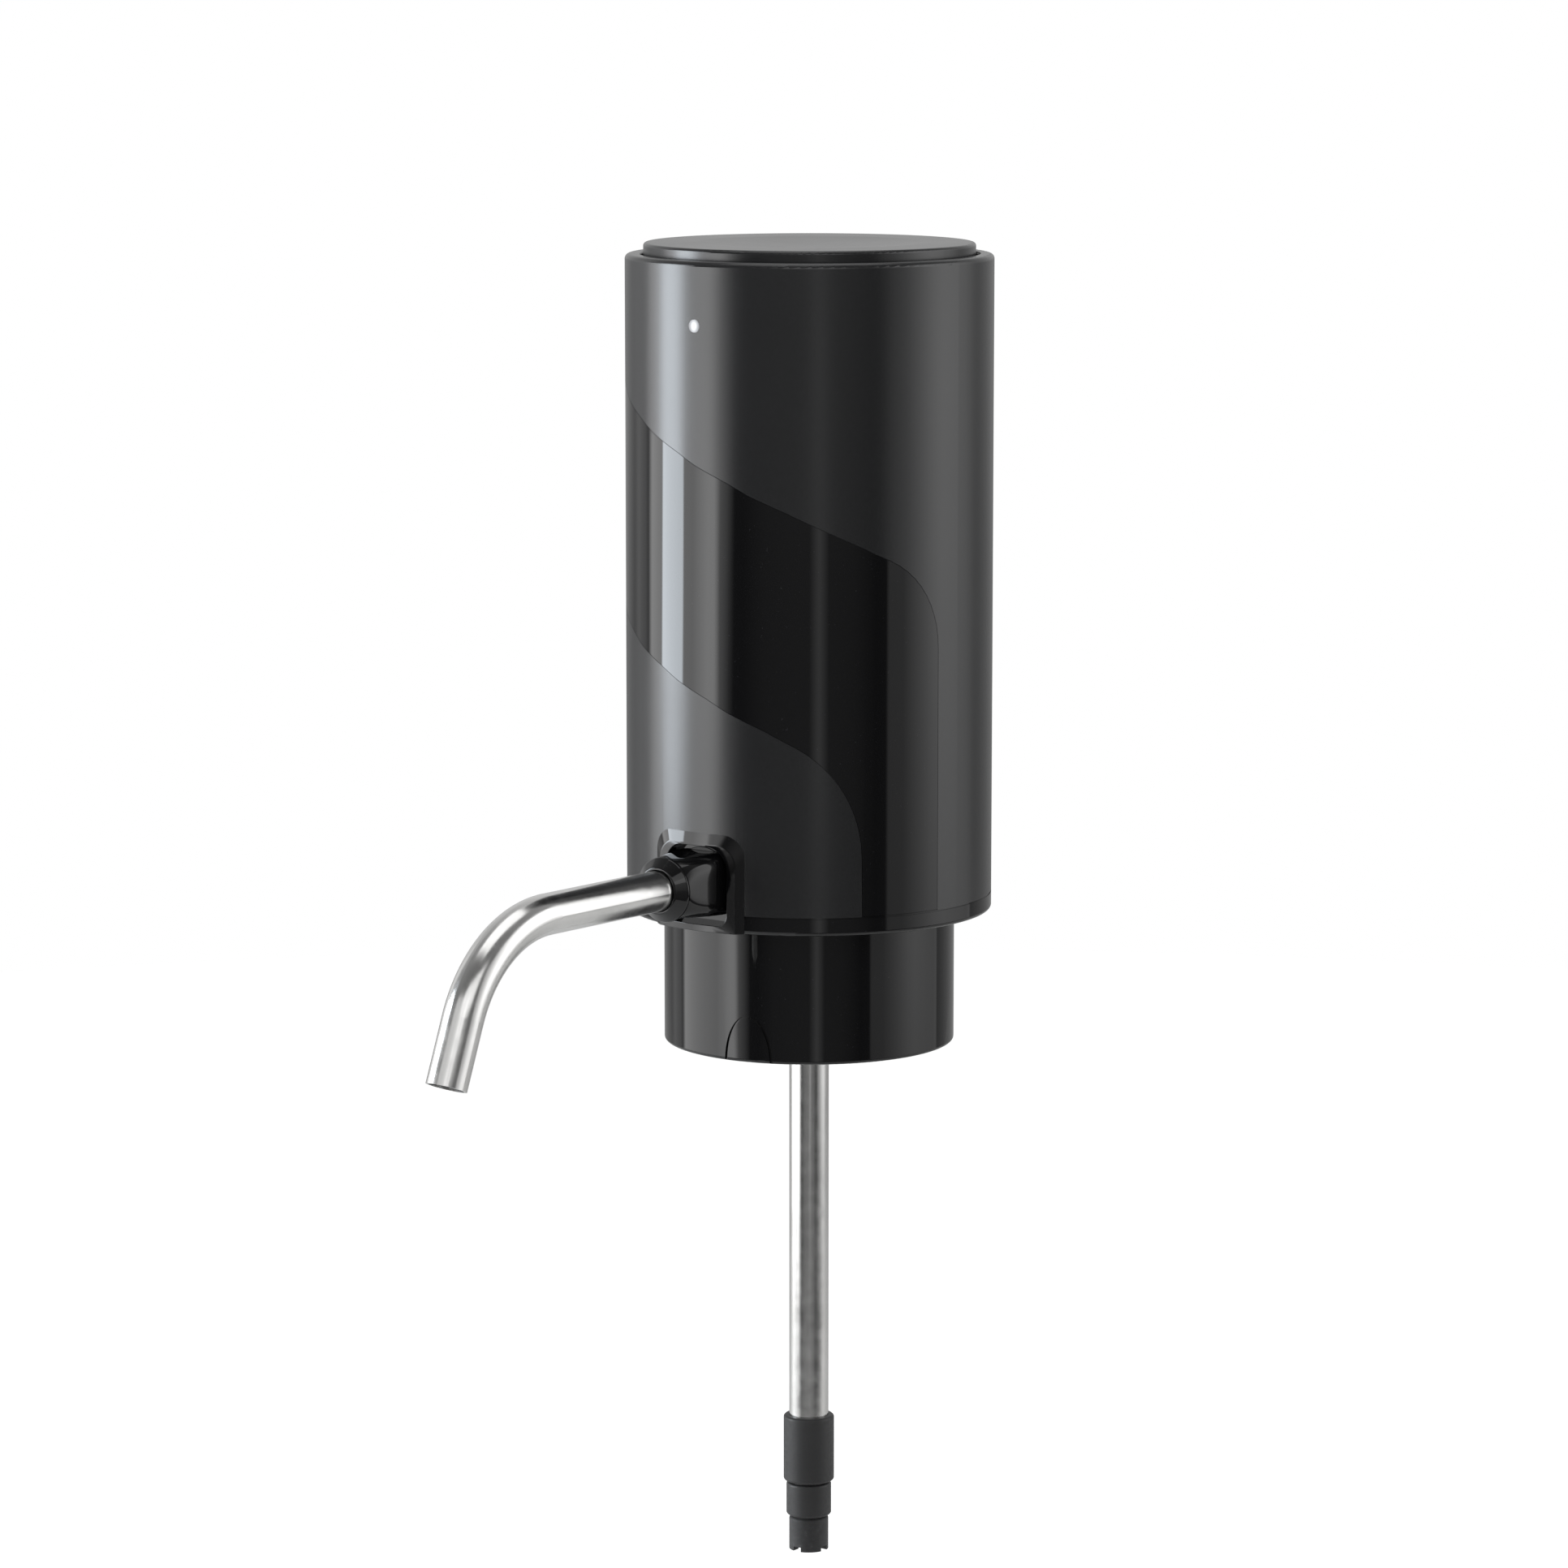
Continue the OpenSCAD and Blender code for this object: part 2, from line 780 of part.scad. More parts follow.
// Square root that runs out into a round ring, with the bore for the spout and its two seals
module spout_socket() {
    ring_r = socket_ring_d / 2;
    ring_back = socket_face - ring_cone - 0.6;
    root_w = 12;
    root_h = 10.8;
    root_round = 1.7;
    flat_w = root_w - 2 * root_round;
    flat_h = root_h - 2 * root_round;
    color([0.03, 0.03, 0.035])
        difference() {
            union() {
                spout_cylinder(socket_r, socket_back, tub_back + 1.4);
                hull() {
                    toward_spout(tub_back + 1.3, tub_back + 2.6)
                        translate([0, spout_z])
                            union() {
                                square([root_w, flat_h], center = true);
                                square([flat_w, root_h], center = true);
                                for (sx = [-1, 1], sy = [-1, 1])
                                    translate([sx * flat_w / 2, sy * flat_h / 2])
                                        circle(root_round, $fn = 32);
                            }
                    translate([0, -ring_back, spout_z])
                        rotate([90, 0, 0])
                            cylinder(r = ring_r - 0.6, h = 0.3, $fn = 48);
                }
                round_spout()
                    polygon([
                        [0, ring_back],
                        [ring_r - 0.3, ring_back],
                        [ring_r, ring_back + 0.2],
                        [ring_r, socket_face - ring_cone],
                        [ring_r - ring_cone, socket_face],
                        [0, socket_face]
                    ]);
            }
            spout_cylinder(outlet_r + press_gap, socket_back - 1, pipe_end + 0.2);
            spout_cylinder(upper_r - 0.5, socket_back, socket_face);
            spout_cylinder(spout_r + run_gap, socket_step, socket_face + 1);
            for (u = seal_places)
                spout_cylinder(spout_r + run_gap + 2 * seal_section + 0.03, u - 0.65, u + 0.65);
            translate([0, -socket_face + 1, spout_z])
                rotate([90, 0, 0])
                    cylinder(r1 = spout_r + run_gap, r2 = spout_r + 0.25, h = 1.01);
        }
}

module spout_seals() {
    color([0.05, 0.05, 0.05])
        for (u = seal_places)
            round_spout()
                translate([spout_r + run_gap + seal_section, u])
                    circle(seal_section);
}

// The bend is a hair thicker than the straight runs, as a bent tube is
module spout_tube() {
    ring_inner = spout_r - spout_wall;
    hair = 0.01;
    color([0.8, 0.81, 0.82])
        union() {
            translate([0, -socket_step - 0.2, spout_z])
                rotate([90, 0, 0])
                    tube(spout_r, ring_inner, bend_u - socket_step - 0.2);
            translate([0, -bend_u, spout_z - spout_bend_r]) {
                rotate([0, -90, 180])
                    rotate_extrude(angle = spout_bend)
                        translate([spout_bend_r, 0])
                            difference() {
                                circle(spout_r + hair);
                                circle(ring_inner - hair);
                            }
                translate([0, -spout_bend_r * sin(spout_bend), spout_bend_r * cos(spout_bend)])
                    rotate([90 + spout_bend, 0, 0])
                        tube(spout_r, ring_inner, spout_tip);
            }
        }
}

module chassis() {
    clip_z = [chassis_top + 12, chassis_top + battery_l - 19];
    color([0.25, 0.25, 0.27])
        difference() {
            union() {
                translate([0, 0, chassis_z])
                    cylinder(r = bore_r - 0.4, h = plate_t);
                translate([0, 0, top_plate_z])
                    cylinder(r = post_reach + post_r, h = top_plate_t);
                translate([web_x, -web_half, chassis_top - 0.5])
                    cube([web_t, 2 * web_half, top_plate_z - chassis_top + 1]);
                for (p = post_places)
                    translate([p[0], p[1], base_top]) {
                        cylinder(r = post_r, h = board_z - base_top);
                        cylinder(r = post_tip_r, h = deck_z - 0.1 - base_top);
                    }
                for (z = clip_z)
                    translate([battery_x, 0, z])
                        rotate([0, 0, -120])
                            rotate_extrude(angle = 240)
                                translate([battery_r + part_gap, 0])
                                    square([1.5, 8]);
                translate([pump_x, 0, motor_ring_z])
                    rotate([0, 0, 75])
                        rotate_extrude(angle = 210)
                            translate([motor_r + 1.1, 0])
                                square([1.7, 8]);
                for (turn = cup_turns)
                    translate([pump_x + 9 * cos(turn), 9 * sin(turn), chassis_top - 0.5])
                        cylinder(r = 1.8, h = pump_z - chassis_top + 0.5);
                for (side = [-1, 1]) {
                    translate([side * charge_screw_at[0], charge_screw_at[1], chassis_top - 0.5])
                        cylinder(r = 2.2, h = charge_z - chassis_top + 0.5);
                    translate([0, side * board_boss_y, top_plate_z])
                        cylinder(r = 2.4, h = board_z - top_plate_z);
                }
            }
            translate([pump_x, 0, chassis_z - 1])
                cylinder(r = 6, h = plate_t + 2);
            translate([pump_x, 0, top_plate_z - 1])
                cylinder(r = 9, h = top_plate_t + 2);
            translate([battery_x, 0, top_plate_z - 1])
                cylinder(r = 8, h = top_plate_t + 2);
            translate([battery_x, battery_r + 2.8, top_plate_z - 1])
                cylinder(r = 1, h = top_plate_t + 2);
            for (side = [-1, 1]) {
                translate([side * charge_lead_at[0], charge_lead_at[1], top_plate_z - 1])
                    cylinder(r = 1, h = top_plate_t + 2);
                translate([side * charge_screw_at[0], charge_screw_at[1], chassis_top + 0.5])
                    cylinder(r = 0.82, h = 10);
                translate([0, side * board_boss_y, top_plate_z - 1])
                    cylinder(r = 0.82, h = 20);
            }
            for (p = post_places)
                translate([p[0], p[1], 0]) {
                    translate([0, 0, base_top - 1])
                        cylinder(r = screw_r + press_gap, h = 9);
                    translate([0, 0, deck_z - 8])
                        cylinder(r = screw_r + press_gap, h = 10);
                }
        }
}

module battery_cell() {
    color([0.12, 0.35, 0.55])
        translate([battery_x, 0, chassis_top + 0.3]) {
            rotate_extrude()
                difference() {
                    square([battery_r, battery_l - 1]);
                    translate([battery_r - 0.8, battery_l - 1.8])
                        corner_cut(0.8);
                }
            translate([0, 0, battery_l - 2])
                cylinder(r = 2.8, h = 2);
        }
}

module battery_tabs() {
    color([0.8, 0.8, 0.78])
        translate([battery_x, 0, chassis_top]) {
            translate([-2.5, -5, 0])
                cube([5, battery_r + 8.6, 0.3]);
            translate([-2.5, -6.5, battery_l + 0.3])
                cube([5, 9, 0.3]);
        }
}

module battery_leads() {
    color([0.6, 0.06, 0.05])
        translate([battery_x, 0, chassis_top]) {
            translate([0, battery_r + 2.8, 0.3])
                cylinder(r = 0.6, h = board_z - chassis_top - 0.3);
            translate([0, -5, battery_l + 0.6])
                cylinder(r = 0.6, h = board_z - chassis_top - battery_l - 0.6);
        }
}

module motor_ring() {
    color([0.05, 0.05, 0.05])
        translate([pump_x, 0, motor_ring_z])
            tube(motor_r + 1.05, motor_r + 0.05, 8);
}

module motor_can() {
    color([0.7, 0.71, 0.73])
        translate([pump_x, 0, motor_z])
            rotate_extrude()
                difference() {
                    square([motor_r, motor_l]);
                    translate([-1, 1.2])
                        square([motor_r, motor_l]);
                    translate([-1, -1])
                        square([2.55 + 1, 4]);
                }
}

module motor_magnets() {
    color([0.2, 0.2, 0.21])
        for (turn = [20, 200])
            translate([pump_x, 0, motor_z + 1.2])
                rotate([0, 0, turn])
                    rotate_extrude(angle = 140)
                        translate([motor_r - 3.3, 0])
                            square([2.25, motor_l - 5]);
}

module motor_bushes() {
    color([0.7, 0.5, 0.2])
        translate([pump_x, 0, 0]) {
            translate([0, 0, motor_z - 1.2])
                tube(2.5, 1 + run_gap, 3.2);
            translate([0, 0, can_top - 2])
                tube(2.5, 1 + run_gap, 2.4);
        }
}

module motor_armature() {
    color([0.6, 0.35, 0.2])
        translate([pump_x, 0, 0]) {
            translate([0, 0, hub_z + 1])
                cylinder(r = 1, h = can_top - hub_z - 0.8);
            difference() {
                translate([0, 0, stack_z])
                    cylinder(r = motor_r - 3.9, h = stack_l);
                for (turn = armature_slots)
                    rotate([0, 0, turn])
                        translate([3.6, -1, motor_z])
                            cube([10, 2, motor_l]);
            }
            translate([0, 0, stack_z + stack_l - 0.2])
                cylinder(r = 2.6, h = can_top - 2.8 - stack_z - stack_l + 0.2);
        }
}

module motor_end_cap() {
    color([0.9, 0.9, 0.88])
        translate([pump_x, 0, 0])
            difference() {
                union() {
                    translate([0, 0, can_top])
                        cylinder(r = motor_r, h = 2);
                    translate([0, 0, can_top - 2])
                        cylinder(r = motor_r - 1.05, h = 2.5);
                    for (side = [-1, 1])
                        translate([side * 6 - 1, -0.4, can_top + 1])
                            cube([2, 0.8, 2.6]);
                }
                translate([0, 0, can_top - 3])
                    cylinder(r = 2.52, h = 3.4);
                translate([0, 0, can_top - 3])
                    cylinder(r = 1.2, h = 3.8);
            }
}

module motor_leads() {
    color([0.6, 0.06, 0.05])
        for (side = [-1, 1])
            translate([pump_x + side * 6, 0, can_top + 3.6])
                cylinder(r = 0.6, h = board_z - can_top - 3.6);
}

module eccentric() {
    color([0.85, 0.85, 0.8])
        translate([pump_x, 0, hub_z])
            difference() {
                union() {
                    cylinder(r = 4.2, h = hub_h);
                    translate([1.7, 0, 0.5])
                        rotate([0, 197, 0])
                            cylinder(r = 0.7, h = 4.4);
                }
                translate([0, 0, 1])
                    cylinder(r = 1.01, h = hub_h);
                translate([-6, -6, 2.4])
                    cube([4, 12, hub_h]);
            }
}

module pump_housing() {
    color([0.16, 0.16, 0.17])
        translate([pump_x, 0, housing_z])
            difference() {
                union() {
                    tube(pump_r, pump_r - 1.5, housing_h);
                    translate([0, 0, housing_h - 2])
                        cylinder(r = pump_r - 1, h = 2);
                    for (turn = pump_screw_turns)
                        rotate([0, 0, turn])
                            translate([pump_screw_reach, 0, 0])
                                cylinder(r = 2, h = housing_h - 1);
                }
                translate([0, 0, housing_h - 4])
                    cylinder(r = 2.6, h = 6);
                for (turn = pump_screw_turns)
                    rotate([0, 0, turn])
                        translate([pump_screw_reach, 0, -1])
                            cylinder(r = 0.97, h = 12);
                rotate([0, 0, 60])
                    translate([0, 0, 8])
                        rotate([0, 90, 0])
                            cylinder(r = 1, h = wide);
            }
}

module swing_frame() {
    color([0.85, 0.85, 0.8])
        translate([pump_x, 0, cup_top])
            difference() {
                union() {
                    cylinder(r = 3.5, h = hub_z - cup_top - 0.6);
                    for (turn = cup_turns)
                        rotate([0, 0, turn]) {
                            translate([0, -1.5, 0])
                                cube([cup_reach, 3, 1.2]);
                            translate([cup_reach, 0, 0])
                                cylinder(r = 2.2, h = 1.2);
                        }
                }
                translate([0, 0, 0.4])
                    cylinder(r1 = 1.7, r2 = 2.9, h = hub_z - cup_top - 0.9);
                for (turn = cup_turns)
                    rotate([0, 0, turn])
                        translate([cup_reach, 0, -1])
                            cylinder(r = 0.95, h = 4);
            }
}

module diaphragm() {
    color([0.08, 0.08, 0.08])
        translate([pump_x, 0, skin_z])
            difference() {
                union() {
                    cylinder(r = pump_r, h = skin_t);
                    for (turn = cup_turns)
                        rotate([0, 0, turn])
                            translate([cup_reach, 0, 0]) {
                                cylinder(r = 3.3, h = cup_top - skin_z);
                                cylinder(r = 0.9, h = cup_top - skin_z + 2);
                            }
                }
                for (turn = cup_turns)
                    rotate([0, 0, turn])
                        translate([cup_reach, 0, -1])
                            cylinder(r = 2.6, h = cup_top - skin_z + 0.2);
                for (turn = pump_screw_turns)
                    rotate([0, 0, turn])
                        translate([pump_screw_reach, 0, -1])
                            cylinder(r = 1.05, h = 4);
            }
}

module valve_plate() {
    color([0.75, 0.75, 0.72])
        translate([pump_x, 0, head_top])
            difference() {
                cylinder(r = pump_r, h = valve_plate_t);
                for (turn = pump_screw_turns)
                    rotate([0, 0, turn])
                        translate([pump_screw_reach, 0, -1])
                            cylinder(r = 1.05, h = 5);
                for (turn = cup_turns, reach = [3, 7.6])
                    rotate([0, 0, turn])
                        translate([reach, 0, -1])
                            cylinder(r = 0.7, h = 5);
            }
}

module pump_head() {
    color([0.16, 0.16, 0.17])
        translate([pump_x, 0, pump_z])
            difference() {
                union() {
                    cylinder(r = pump_r, h = head_t);
                    translate([0, 0, nozzle_z - pump_z])
                        cylinder(r = barb_r, h = pump_z - nozzle_z + 1);
                }
                translate([0, 0, nozzle_z - pump_z - 1])
                    cylinder(r = air_r, h = head_t + 8);
                translate([0, 0, 2])
                    cylinder(r = 3.8, h = head_t);
                translate([0, 0, 3])
                    tube(9, 5.2, head_t);
                rotate([0, 0, 60])
                    translate([7, 0, 4])
                        rotate([0, 90, 0])
                            cylinder(r = 0.7, h = wide);
                for (turn = pump_screw_turns)
                    rotate([0, 0, turn])
                        translate([pump_screw_reach, 0, -1])
                            cylinder(r = 1.05, h = head_t + 2);
            }
}

module pump_screws() {
    color([0.72, 0.73, 0.75])
        for (turn = pump_screw_turns)
            translate([pump_x + pump_screw_reach * cos(turn), pump_screw_reach * sin(turn), pump_z])
                screw(1.7, 1.2, 0.95, housing_z - pump_z + 9);
}

module hose_upper() {
    color([0.7, 0.72, 0.7])
        translate([pump_x, 0, valve_z + valve_h + 0.1])
            tube(2.8, barb_r + run_gap, pump_z - valve_z - valve_h - 0.2);
}

module check_valve() {
    color([0.8, 0.8, 0.82])
        translate([pump_x, 0, valve_z])
            difference() {
                union() {
                    cylinder(r = 4.8, h = valve_h);
                    translate([0, 0, -4.2])
                        cylinder(r = barb_r, h = valve_h + 8.4);
                }
                translate([0, 0, -5])
                    cylinder(r = air_r, h = valve_h + 10);
                translate([0, 0, 1])
                    cylinder(r = 3.4, h = valve_h - 2);
            }
}

module hose_lower() {
    color([0.7, 0.72, 0.7])
        translate([pump_x, 0, arm_top + 0.1])
            tube(2.8, barb_r + run_gap, valve_z - arm_top - 0.2);
}

module charge_board() {
    color([0.06, 0.3, 0.16])
        difference() {
            translate([-charge_w / 2, charge_y, charge_z])
                cube([charge_w, charge_l, charge_t]);
            for (side = [-1, 1])
                translate([side * charge_screw_at[0], charge_screw_at[1], charge_z - 1])
                    cylinder(r = 0.95, h = 4);
        }
}

module usb_socket() {
    color([0.75, 0.76, 0.78])
        translate([0, usb_mouth, usb_z])
            rotate([90, 0, 0]) {
                difference() {
                    usb_outline(0, usb_l);
                    translate([0, 0, -1])
                        usb_outline(0.3, usb_l + 0.4);
                }
                translate([-3.3, -0.35, 1])
                    cube([6.6, 0.7, usb_l - 1.2]);
            }
}

module usb_outline(inset, length) {
    span = usb_w - usb_h;
    linear_extrude(length) {
        square([span, usb_h - 2 * inset], center = true);
        for (side = [-1, 1])
            translate([side * span / 2, 0])
                circle(usb_h / 2 - inset);
    }
}

module charge_screws() {
    color([0.72, 0.73, 0.75])
        for (side = [-1, 1])
            translate([side * charge_screw_at[0], charge_screw_at[1], charge_z + charge_t])
                rotate([180, 0, 0])
                    screw(1.5, 1, 0.8, 5);
}

module charge_leads() {
    color([0.1, 0.1, 0.1])
        for (side = [-1, 1])
            translate([side * charge_lead_at[0], charge_lead_at[1], charge_z + charge_t])
                cylinder(r = 0.6, h = board_z - charge_z - charge_t);
}

module control_board() {
    color([0.06, 0.3, 0.16])
        difference() {
            translate([0, 0, board_z])
                cylinder(r = board_r, h = board_t);
            for (p = post_places)
                translate([p[0], p[1], board_z - 1])
                    cylinder(r = post_tip_r + part_gap, h = board_t + 2);
            for (side = [-1, 1])
                translate([0, side * board_boss_y, board_z - 1])
                    cylinder(r = 0.95, h = board_t + 2);
        }
}

module board_parts() {
    color([0.05, 0.05, 0.06]) {
        translate([-3, -12, board_z - 1])
            cube([6, 6, 1]);
        translate([4, 8, board_z - 2.2])
            cube([5, 5, 2.2]);
        translate([-9, 4, board_z - 1.4])
            cube([4, 3, 1.4]);
        translate([-22, -6, board_top])
            cube([4, 9, 3.2]);
    }
}

module board_screws() {
    color([0.72, 0.73, 0.75])
        for (side = [-1, 1])
            translate([0, side * board_boss_y, board_top])
                rotate([180, 0, 0])
                    screw(1.6, 1, 0.8, 5);
}

module push_switch() {
    color([0.08, 0.08, 0.09])
        translate([0, 0, board_top])
            difference() {
                translate([-3, -3, 0])
                    cube([6, 6, switch_h]);
                translate([0, 0, 0.6])
                    cylinder(r = 1.75 + run_gap, h = switch_h);
            }
}

module switch_plunger() {
    color([0.8, 0.78, 0.7])
        translate([0, 0, board_top + 0.7 + button_travel])
            cylinder(r = 1.75, h = plunger_top - board_top - 0.7 - button_travel);
}

module status_led() {
    color([1, 1, 0.95])
        translate([0, -board_r + 0.2, 0]) {
            translate([-1.6, 0, board_top])
                cube([3.2, 1.8, 2.6]);
            translate([0, 0.5, led_z])
                rotate([90, 0, 0])
                    cylinder(r = 0.8, h = 1.3);
        }
}

module light_pipe() {
    start = board_r + 0.9;
    color([1, 1, 1])
        translate([0, -start, led_z])
            rotate([90, 0, 0]) {
                cylinder(r = pipe_d / 2, h = body_r + 0.05 - start);
                cylinder(r = pipe_d / 2 + 0.7, h = bore_r - 0.2 - start);
            }
}

module button_deck() {
    color([0.15, 0.15, 0.16])
        translate([0, 0, deck_z])
            difference() {
                cylinder(r = top_bore_r - part_gap, h = deck_t);
                translate([0, 0, -1])
                    cylinder(r = 2.5, h = deck_t + 2);
                for (p = post_places)
                    translate([p[0], p[1], -1])
                        cylinder(r = screw_r + screw_gap, h = deck_t + 2);
                for (turn = hook_angles)
                    rotate([0, 0, turn])
                        translate([hook_r - part_gap, -2.8, -1])
                            cube([1.4 + 2 * part_gap, 5.6, deck_t + 2]);
            }
}

module deck_screws() {
    color([0.72, 0.73, 0.75])
        for (p = post_places)
            translate([p[0], p[1], deck_top])
                rotate([180, 0, 0])
                    screw(head_r, head_h, screw_r, 8);
}

// Round wire wound between two heights
module button_spring() {
    coil_r = 5;
    turns = 3;
    steps = 28;
    sides = 8;
    wire_r = spring_wire / 2;
    low = deck_top + wire_r + 0.02;
    high = button_under - wire_r - 0.02;
    last = turns * steps;
    echo(spring_gap_mm = (high - low) / turns - spring_wire);
    points = [for (i = [0 : last], k = [0 : sides - 1])
        let (
            a = 360 * i / steps,
            b = 360 * k / sides,
            r = coil_r + wire_r * cos(b)
        )
        [r * cos(a), r * sin(a), low + (high - low) * i / last + wire_r * sin(b)]];
    walls = [for (i = [0 : last - 1], k = [0 : sides - 1]) each
        let (
            a = sides * i + k,
            b = sides * i + (k + 1) % sides
        )
        [[a, b + sides, b], [a, a + sides, b + sides]]];
    ends = [
        [for (k = [0 : sides - 1]) k],
        [for (k = [0 : sides - 1]) sides * last + sides - 1 - k]
    ];
    color([0.75, 0.76, 0.78])
        polyhedron(points, concat(walls, ends), convexity = 8);
}

module top_button() {
    color([0.08, 0.08, 0.09])
        union() {
            rotate_extrude()
                difference() {
                    translate([0, button_low])
                        square([button_r, button_top - button_low]);
                    translate([-1, button_low - 1])
                        square([skirt_r + 1, button_under - button_low + 1]);
                    translate([button_r - button_round, button_top - button_round])
                        corner_cut(button_round);
                    translate([-1, button_top - dish_step])
                        square([dish_r + 1, 1]);
                    translate([0, button_top - dish_step - dish_depth + dish_ball_r])
                        circle(dish_ball_r, $fn = 1440);
                }
            translate([0, 0, plunger_top])
                cylinder(r = 2.1, h = button_under - plunger_top + 0.5);
            for (turn = hook_angles)
                rotate([0, 0, turn]) {
                    translate([hook_r, -2.5, deck_z - 1.4])
                        cube([1.4, 5, button_under - deck_z + 1.9]);
                    translate([hook_r, -2.5, deck_z - 1.4])
                        cube([2.2, 5, 1.25]);
                }
        }
}

body_shell();
gloss_band();
base_cover();
base_screws();
neck_collar();
collar_screws();
bottle_bung();
manifold();
manifold_screws();
air_plug();
dip_seal();
dip_tube_upper();
upper_gland();
dip_tube_middle();
middle_gland();
dip_tube_lower();
dip_foot();
spout_frame();
spout_socket();
spout_seals();
spout_tube();
chassis();
battery_cell();
battery_tabs();
battery_leads();
motor_ring();
motor_can();
motor_magnets();
motor_bushes();
motor_armature();
motor_end_cap();
motor_leads();
eccentric();
pump_housing();
swing_frame();
diaphragm();
valve_plate();
pump_head();
pump_screws();
hose_upper();
check_valve();
hose_lower();
charge_board();
usb_socket();
charge_screws();
charge_leads();
control_board();
board_parts();
board_screws();
push_switch();
switch_plunger();
status_led();
light_pipe();
button_deck();
deck_screws();
button_spring();
top_button();
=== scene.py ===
import json
import math

import bmesh
import bpy
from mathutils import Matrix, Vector


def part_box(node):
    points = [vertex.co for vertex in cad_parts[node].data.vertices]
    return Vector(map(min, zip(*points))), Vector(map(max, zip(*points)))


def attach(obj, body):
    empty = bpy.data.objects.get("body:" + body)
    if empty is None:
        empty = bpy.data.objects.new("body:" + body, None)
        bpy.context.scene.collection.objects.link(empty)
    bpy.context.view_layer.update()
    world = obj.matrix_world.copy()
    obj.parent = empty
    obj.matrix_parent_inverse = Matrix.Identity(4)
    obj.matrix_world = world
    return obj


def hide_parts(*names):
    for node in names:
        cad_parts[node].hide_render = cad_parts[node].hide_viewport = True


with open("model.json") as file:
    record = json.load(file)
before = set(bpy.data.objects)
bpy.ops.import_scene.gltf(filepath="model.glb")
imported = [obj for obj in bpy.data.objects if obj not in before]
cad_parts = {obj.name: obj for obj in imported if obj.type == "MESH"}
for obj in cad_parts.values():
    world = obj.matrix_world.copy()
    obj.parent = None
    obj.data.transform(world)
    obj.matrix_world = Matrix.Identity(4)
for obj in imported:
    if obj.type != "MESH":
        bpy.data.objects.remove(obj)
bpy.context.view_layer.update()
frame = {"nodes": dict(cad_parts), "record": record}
nodes = frame["nodes"]
print("frame loaded,", len(nodes), "nodes")

# where the picture is taken from: right of the spout, a little above the rim
viewpoint = {
    "azimuth": 37.6,
    "distance": 0.99123,
    "height": 0.17588,
    "pitch": 8.566,  # degrees down
    "aimLeft": 0.256,  # the axis stands a little right of the middle
    "lens": 131.19,
    "sensor": 36,
    "clip": (0.05, 50),
}


def roundAxis(azimuth, distance, height):
    # azimuth counts from the viewpoint, to the right
    a = math.radians(viewpoint["azimuth"] + azimuth)
    return Vector((distance * math.sin(a), -distance * math.cos(a), height))


def placeCamera():
    data = bpy.data.cameras.new("pictureCamera")
    data.sensor_fit = "HORIZONTAL"
    data.sensor_width = viewpoint["sensor"]
    data.lens = viewpoint["lens"]
    data.clip_start, data.clip_end = viewpoint["clip"]
    cam = bpy.data.objects.new("pictureCamera", data)
    cam.location = roundAxis(0, viewpoint["distance"], viewpoint["height"])
    cam.rotation_euler = (
        math.radians(90 - viewpoint["pitch"]),
        0,
        math.radians(viewpoint["azimuth"] + viewpoint["aimLeft"]),
    )
    bpy.context.scene.collection.objects.link(cam)
    bpy.context.scene.camera = cam


placeCamera()
print("camera placed")


# small helpers for the finishes: all patterns sit in the part's own coordinates
def newFinish(name):
    mat = bpy.data.materials.new(name)
    mat.use_nodes = True
    tree = mat.node_tree
    return mat, tree, tree.nodes["Principled BSDF"]


def partCoords(tree, stretch=(1, 1, 1), shift=(0, 0, 0)):
    coords = tree.nodes.new("ShaderNodeTexCoord")
    mapping = tree.nodes.new("ShaderNodeMapping")
    mapping.inputs["Scale"].default_value = stretch
    mapping.inputs["Location"].default_value = shift
    tree.links.new(coords.outputs["Object"], mapping.inputs["Vector"])
    return mapping.outputs["Vector"]


def grain(tree, where, scale, detail=2.0, roughness=0.5):
    noise = tree.nodes.new("ShaderNodeTexNoise")
    noise.inputs["Scale"].default_value = scale
    noise.inputs["Detail"].default_value = detail
    noise.inputs["Roughness"].default_value = roughness
    tree.links.new(where, noise.inputs["Vector"])
    return noise.outputs["Fac"]


def spread(tree, value, low, high, toLow, toHigh):
    node = tree.nodes.new("ShaderNodeMapRange")
    node.inputs["From Min"].default_value = low
    node.inputs["From Max"].default_value = high
    node.inputs["To Min"].default_value = toLow
    node.inputs["To Max"].default_value = toHigh
    tree.links.new(value, node.inputs["Value"])
    return node.outputs["Result"]


def tones(tree, value, stops):
    ramp = tree.nodes.new("ShaderNodeValToRGB")
    while len(ramp.color_ramp.elements) < len(stops):
        ramp.color_ramp.elements.new(0.5)
    for element, (place, colour) in zip(ramp.color_ramp.elements, stops):
        element.position = place
        element.color = (*colour, 1)
    tree.links.new(value, ramp.inputs["Fac"])
    return ramp.outputs["Color"]


def relief(tree, shader, height, depth, strength):
    bump = tree.nodes.new("ShaderNodeBump")
    bump.inputs["Strength"].default_value = strength
    bump.inputs["Distance"].default_value = depth
    tree.links.new(height, bump.inputs["Height"])
    tree.links.new(bump.outputs["Normal"], shader.inputs["Normal"])


def shade(colour, factor):
    return tuple(c * factor for c in colour)


# fine spark-eroded grain of the body shell, with faint wipe marks in its sheen
satinShell = {
    "colour": (0.0125, 0.0128, 0.0137),
    "roughness": (0.235, 0.262),
    "grainScale": 3600,
    "grainDepth": 0.000007,
    "marksScale": 45,
    "specular": 0.62,
}


